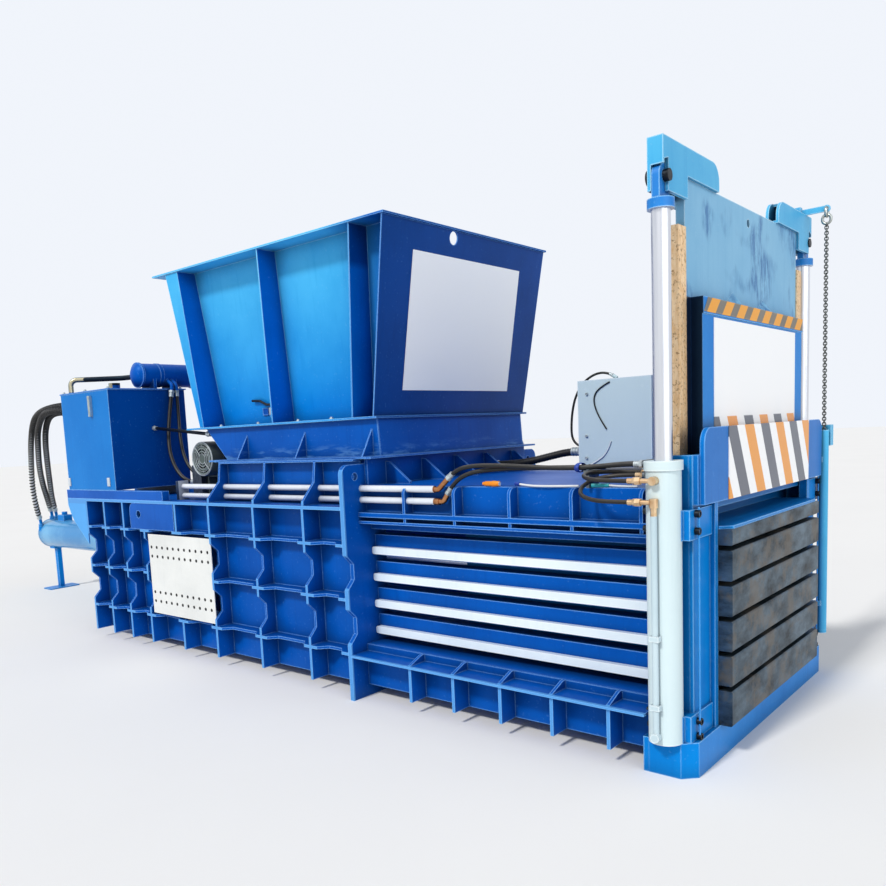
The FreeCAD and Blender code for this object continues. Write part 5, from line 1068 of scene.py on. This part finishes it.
# %% Finishes with two looks
# gate slab: azure door, pale washed plate above it with dark runs, greasy near side
DOOR_TOP = 2.133
made, tree, place = begin("gate_slab_paint")
plate = paint_look(tree, place, "#86BCDC", "#6CA8D0", "#D4F0FC", roughness=0.42, streaks=0.4)
field = add(tree, "ShaderNodeTexNoise", {"Vector": place, "Scale": 3.2}).outputs["Fac"]
wide = add(tree, "ShaderNodeMapRange", {"Value": field, "From Min": 0.50, "From Max": 0.60}).outputs[0]
drawn = add(tree, "ShaderNodeMapping", {"Vector": place, "Scale": (34.0, 34.0, 7.0)}).outputs[0]
smear = add(tree, "ShaderNodeTexNoise", {"Vector": drawn, "Scale": 1.0, "Detail": 6.0,
                                         "Roughness": 0.75}).outputs["Fac"]
fine = add(tree, "ShaderNodeMapRange", {"Value": smear, "From Min": 0.42, "From Max": 0.58,
                                        "To Max": 0.75}).outputs[0]
plate["colour"] = coats(tree, plate["colour"], (overlap(tree, wide, fine), "#205E9C"))
on_door = beyond(tree, place, "Z", DOOR_TOP, turn=True)
look = mixed(tree, on_door, plate, paint_look(tree, place, *AZURE, roughness=0.38))
greasy = overlap(tree, beyond(tree, place, "Y", -0.746, turn=True), on_door)
look = mixed(tree, greasy, look, paint_look(tree, place, "#0D1A30", "#060C18", "#2A4A78", roughness=0.3))
gate_paint = close(made, tree, look, bump=0.06, depth=0.002, **BLUE)

# sign plates: bare white sheet; the cross plate in front of the gate has slanted bands, evenly spaced
made, tree, place = begin("sign_plate_enamel")
sheet = paint_look(tree, place, "#FFFFFF", "#F4F6FA", "#FFFFFF", roughness=0.30, dust=0.05, streaks=0.05,
                   mottle=0.08, grime="#5A6478")
bands = banded_look(tree, place, sheet, [(0.05, 0.33, "#F09A1E"), (0.55, 0.83, "#555A68")], 0.46, 0.55, 0.12)
cross = overlap(tree, beyond(tree, place, "X", 4.1), beyond(tree, place, "Z", 1.60, turn=True))
sign_paint = close(made, tree, mixed(tree, cross, sheet, bands), bump=0.04, depth=0.002,
                   Coat_Weight=0.3, Coat_Roughness=0.12, **PAINT)

# tank lid: royal, with a pale bare elbow at the rear of the return pipe and a black rubber sleeve
made, tree, place = begin("tank_lid_paint")
look = mixed(tree, beyond(tree, place, "Z", 2.12), paint_look(tree, place, *ROYAL),
             rubber_look(tree, place, "#15161A", "#4C5058"))
elbow = overlap(tree, beyond(tree, place, "X", -1.06, turn=True), beyond(tree, place, "Z", 2.062))
look = mixed(tree, elbow, look, metal_look(tree, place, "#C8C0A4", "#8F8870", 0.35))
# the level gauge's slotted guard, on the near face of the tank, is bright steel
guard = overlap(tree, beyond(tree, place, "Y", -1.0556, turn=True),
                beyond(tree, place, "Z", 2.015, turn=True))
look = mixed(tree, guard, look, metal_look(tree, place, "#E4E6E0", "#A8ACA6", 0.35, scale=(30.0,) * 3))
lid_paint = close(made, tree, look, bump=0.05, depth=0.002, **BLUE)

# lift lines: brass fitting above, pale painted line below
made, tree, place = begin("lift_line_finish")
look = mixed(tree, beyond(tree, place, "Z", 1.19),
             paint_look(tree, place, "#C2D6DE", "#9DB8C4", "#F0F8FA", roughness=0.38),
             metal_look(tree, place, *BRASS, scale=(25.0,) * 3, spots=0.2))
line_paint = close(made, tree, look, bump=0.1)

# long pipes: white with copper-coloured elbows at the gate end and a dark bracket at the rear
made, tree, place = begin("long_pipe_finish")
look = mixed(tree, beyond(tree, place, "X", 2.66),
             paint_look(tree, place, "#E4E8EE", "#B6C2D2", "#FFFFFF", roughness=0.32, grime="#24406C"),
             metal_look(tree, place, "#C98F62", "#8E5C38", 0.32, scale=(25.0,) * 3, spots=0.2))
look = mixed(tree, beyond(tree, place, "X", 0.25, turn=True), look,
             paint_look(tree, place, "#20304A", "#101A2C", "#4A6A98"))
pipe_paint = close(made, tree, look, bump=0.05, depth=0.002, **PAINT)

# lift rods: ground chrome, with a painted collar and eye above
made, tree, place = begin("lift_rod_finish")
look = mixed(tree, beyond(tree, place, "Z", 2.468), metal_look(tree, place, *CHROME, scale=(60.0, 60.0, 2.0)),
             paint_look(tree, place, *AZURE))
rod_finish = close(made, tree, look, bump=0.1)
print("gate, signs, lid, lines, pipes and rods")


# %% Tank, hopper and press box
# the faces toward the gate are in shade; the looks given to them below are painted shade
def gate_side(tree, start):
    """Mask of the faces that look toward the gate."""
    normal = add(tree, "ShaderNodeNewGeometry").outputs["Normal"]
    toward = add(tree, "ShaderNodeSeparateXYZ", {0: normal}).outputs["X"]
    return add(tree, "ShaderNodeMapRange", {"Value": toward, "From Min": start, "From Max": 0.6}).outputs[0]


# tank: one azure paint, drawn lit on the near side and as a royal copy with painted shade on its gate side
made, tree, place = begin("tank_paint")
look = mixed(tree, gate_side(tree, 0.4), paint_look(tree, place, "#0076C8", "#0066B8", "#A4DEFF"),
             paint_look(tree, place, "#004496", "#00347E", "#8CC6FF"))
tank_paint = close(made, tree, look, bump=0.06, depth=0.002, **BLUE)

# hopper: azure sides with a painted sheen that makes them paler toward the rim, and painted shade that turns
# them royal toward the front; the faces toward the gate get royal copies with painted shade, darker on the
# front plate
made, tree, place = begin("hopper_paint")
sides = mixed(tree, beyond(tree, place, "Z", 2.25, soft=0.45),
              paint_look(tree, place, "#0A8ADC", "#0070C4", "#96DCFC"),
              paint_look(tree, place, "#4CB8EC", "#2298DA", "#B0E6FC"))
sides = mixed(tree, beyond(tree, place, "X", 2.02, soft=0.22), sides, paint_look(tree, place, *ROYAL))
painted_shade_faces = mixed(tree, beyond(tree, place, "X", 2.05), paint_look(tree, place, "#0064C4", "#0050A4", "#8CC6FF"),
               paint_look(tree, place, "#004090", "#003070", "#6FB2F4"))
hopper_paint = close(made, tree, mixed(tree, gate_side(tree, 0.3), sides, painted_shade_faces), bump=0.06, depth=0.002,
                     **BLUE)

# hopper base: royal, with a painted reflection low on its sides, drawn out in pale streaks
made, tree, place = begin("base_paint_with_painted_reflection")
drawn = add(tree, "ShaderNodeMapping", {"Vector": place, "Scale": (5.0, 5.0, 26.0)}).outputs[0]
marks = add(tree, "ShaderNodeTexNoise", {"Vector": drawn, "Scale": 1.0, "Detail": 6.0,
                                         "Roughness": 0.7}).outputs["Fac"]
painted_reflection_streaks = add(tree, "ShaderNodeMapRange", {"Value": marks, "From Min": 0.50, "From Max": 0.62,
                                         "To Max": 0.38}).outputs[0]
low = beyond(tree, place, "Z", 1.520, soft=0.03, turn=True)
look = paint_look(tree, place, *ROYAL)
look["colour"] = coats(tree, look["colour"], (overlap(tree, painted_reflection_streaks, low), "#6CA6DC"))
base_paint = close(made, tree, look, bump=0.06, depth=0.002, **BLUE)

# press box: royal ribs and cells, with the azure tail bracket behind them, and a painted highlight on the
# outer rib edges
made, tree, place = begin("press_box_paint")
tail = overlap(tree, beyond(tree, place, "X", -0.952, turn=True), beyond(tree, place, "Z", 1.135, turn=True))
look = mixed(tree, tail, paint_look(tree, place, *ROYAL), paint_look(tree, place, *AZURE))
box_paint = close(made, tree, painted_lit_edges(tree, place, look, 1.0540, 1.0565), bump=0.06, depth=0.002, **BLUE)
print("tank, hopper, its base and press box")

# %% Give each CAD part its finish
FINISHES = {
    box_paint: "rear_walls", panel_finish: "access_panels", head_enamel: "gate_head",
    royal_enamel: "lug_plates rear_deck floor_plate front_feed_wall chamber_roof top_bands side_beams "
                  "filter_drum",
    ribbed_enamel: "upper_feed_walls portal_plates bottom_bands",
    azure_enamel: "gate_posts gate_base barrel_clamps ram_body cylinder_flanges t_stand",
    pale_azure_enamel: "gate_ears chain_tube", white_enamel: "side_rails", powder_enamel: "lift_barrels",
    sign_paint: "frame_signs gate_sign", gate_paint: "gate_slab", rod_finish: "lift_rods",
    line_paint: "lift_plumbing", pipe_paint: "long_pipes", barrel_enamel: "main_barrel",
    hopper_paint: "hopper_shell", base_paint: "hopper_base", tank_paint: "tank_body", lid_paint: "tank_lid",
    grey_enamel: "cabinet_body cabinet_door", olive_enamel: "motor_body fan_cover",
    cast_iron: "motor_rotor pump_set manifold hose_rack", scaled_steel: "platen_blocks",
    greased_steel: "gate_guides", black_steel: "gate_pins", chrome: "main_rod",
}
given = {name: finish for finish, names in FINISHES.items() for name in names.split()}
for name, finish in given.items():
    nodes[name].data.materials.clear()
    nodes[name].data.materials.append(finish)
left = sorted(set(nodes) - set(given) - set(HOSES) - {"hang_chain"})
print("finishes given:", len(given), "left:", left)
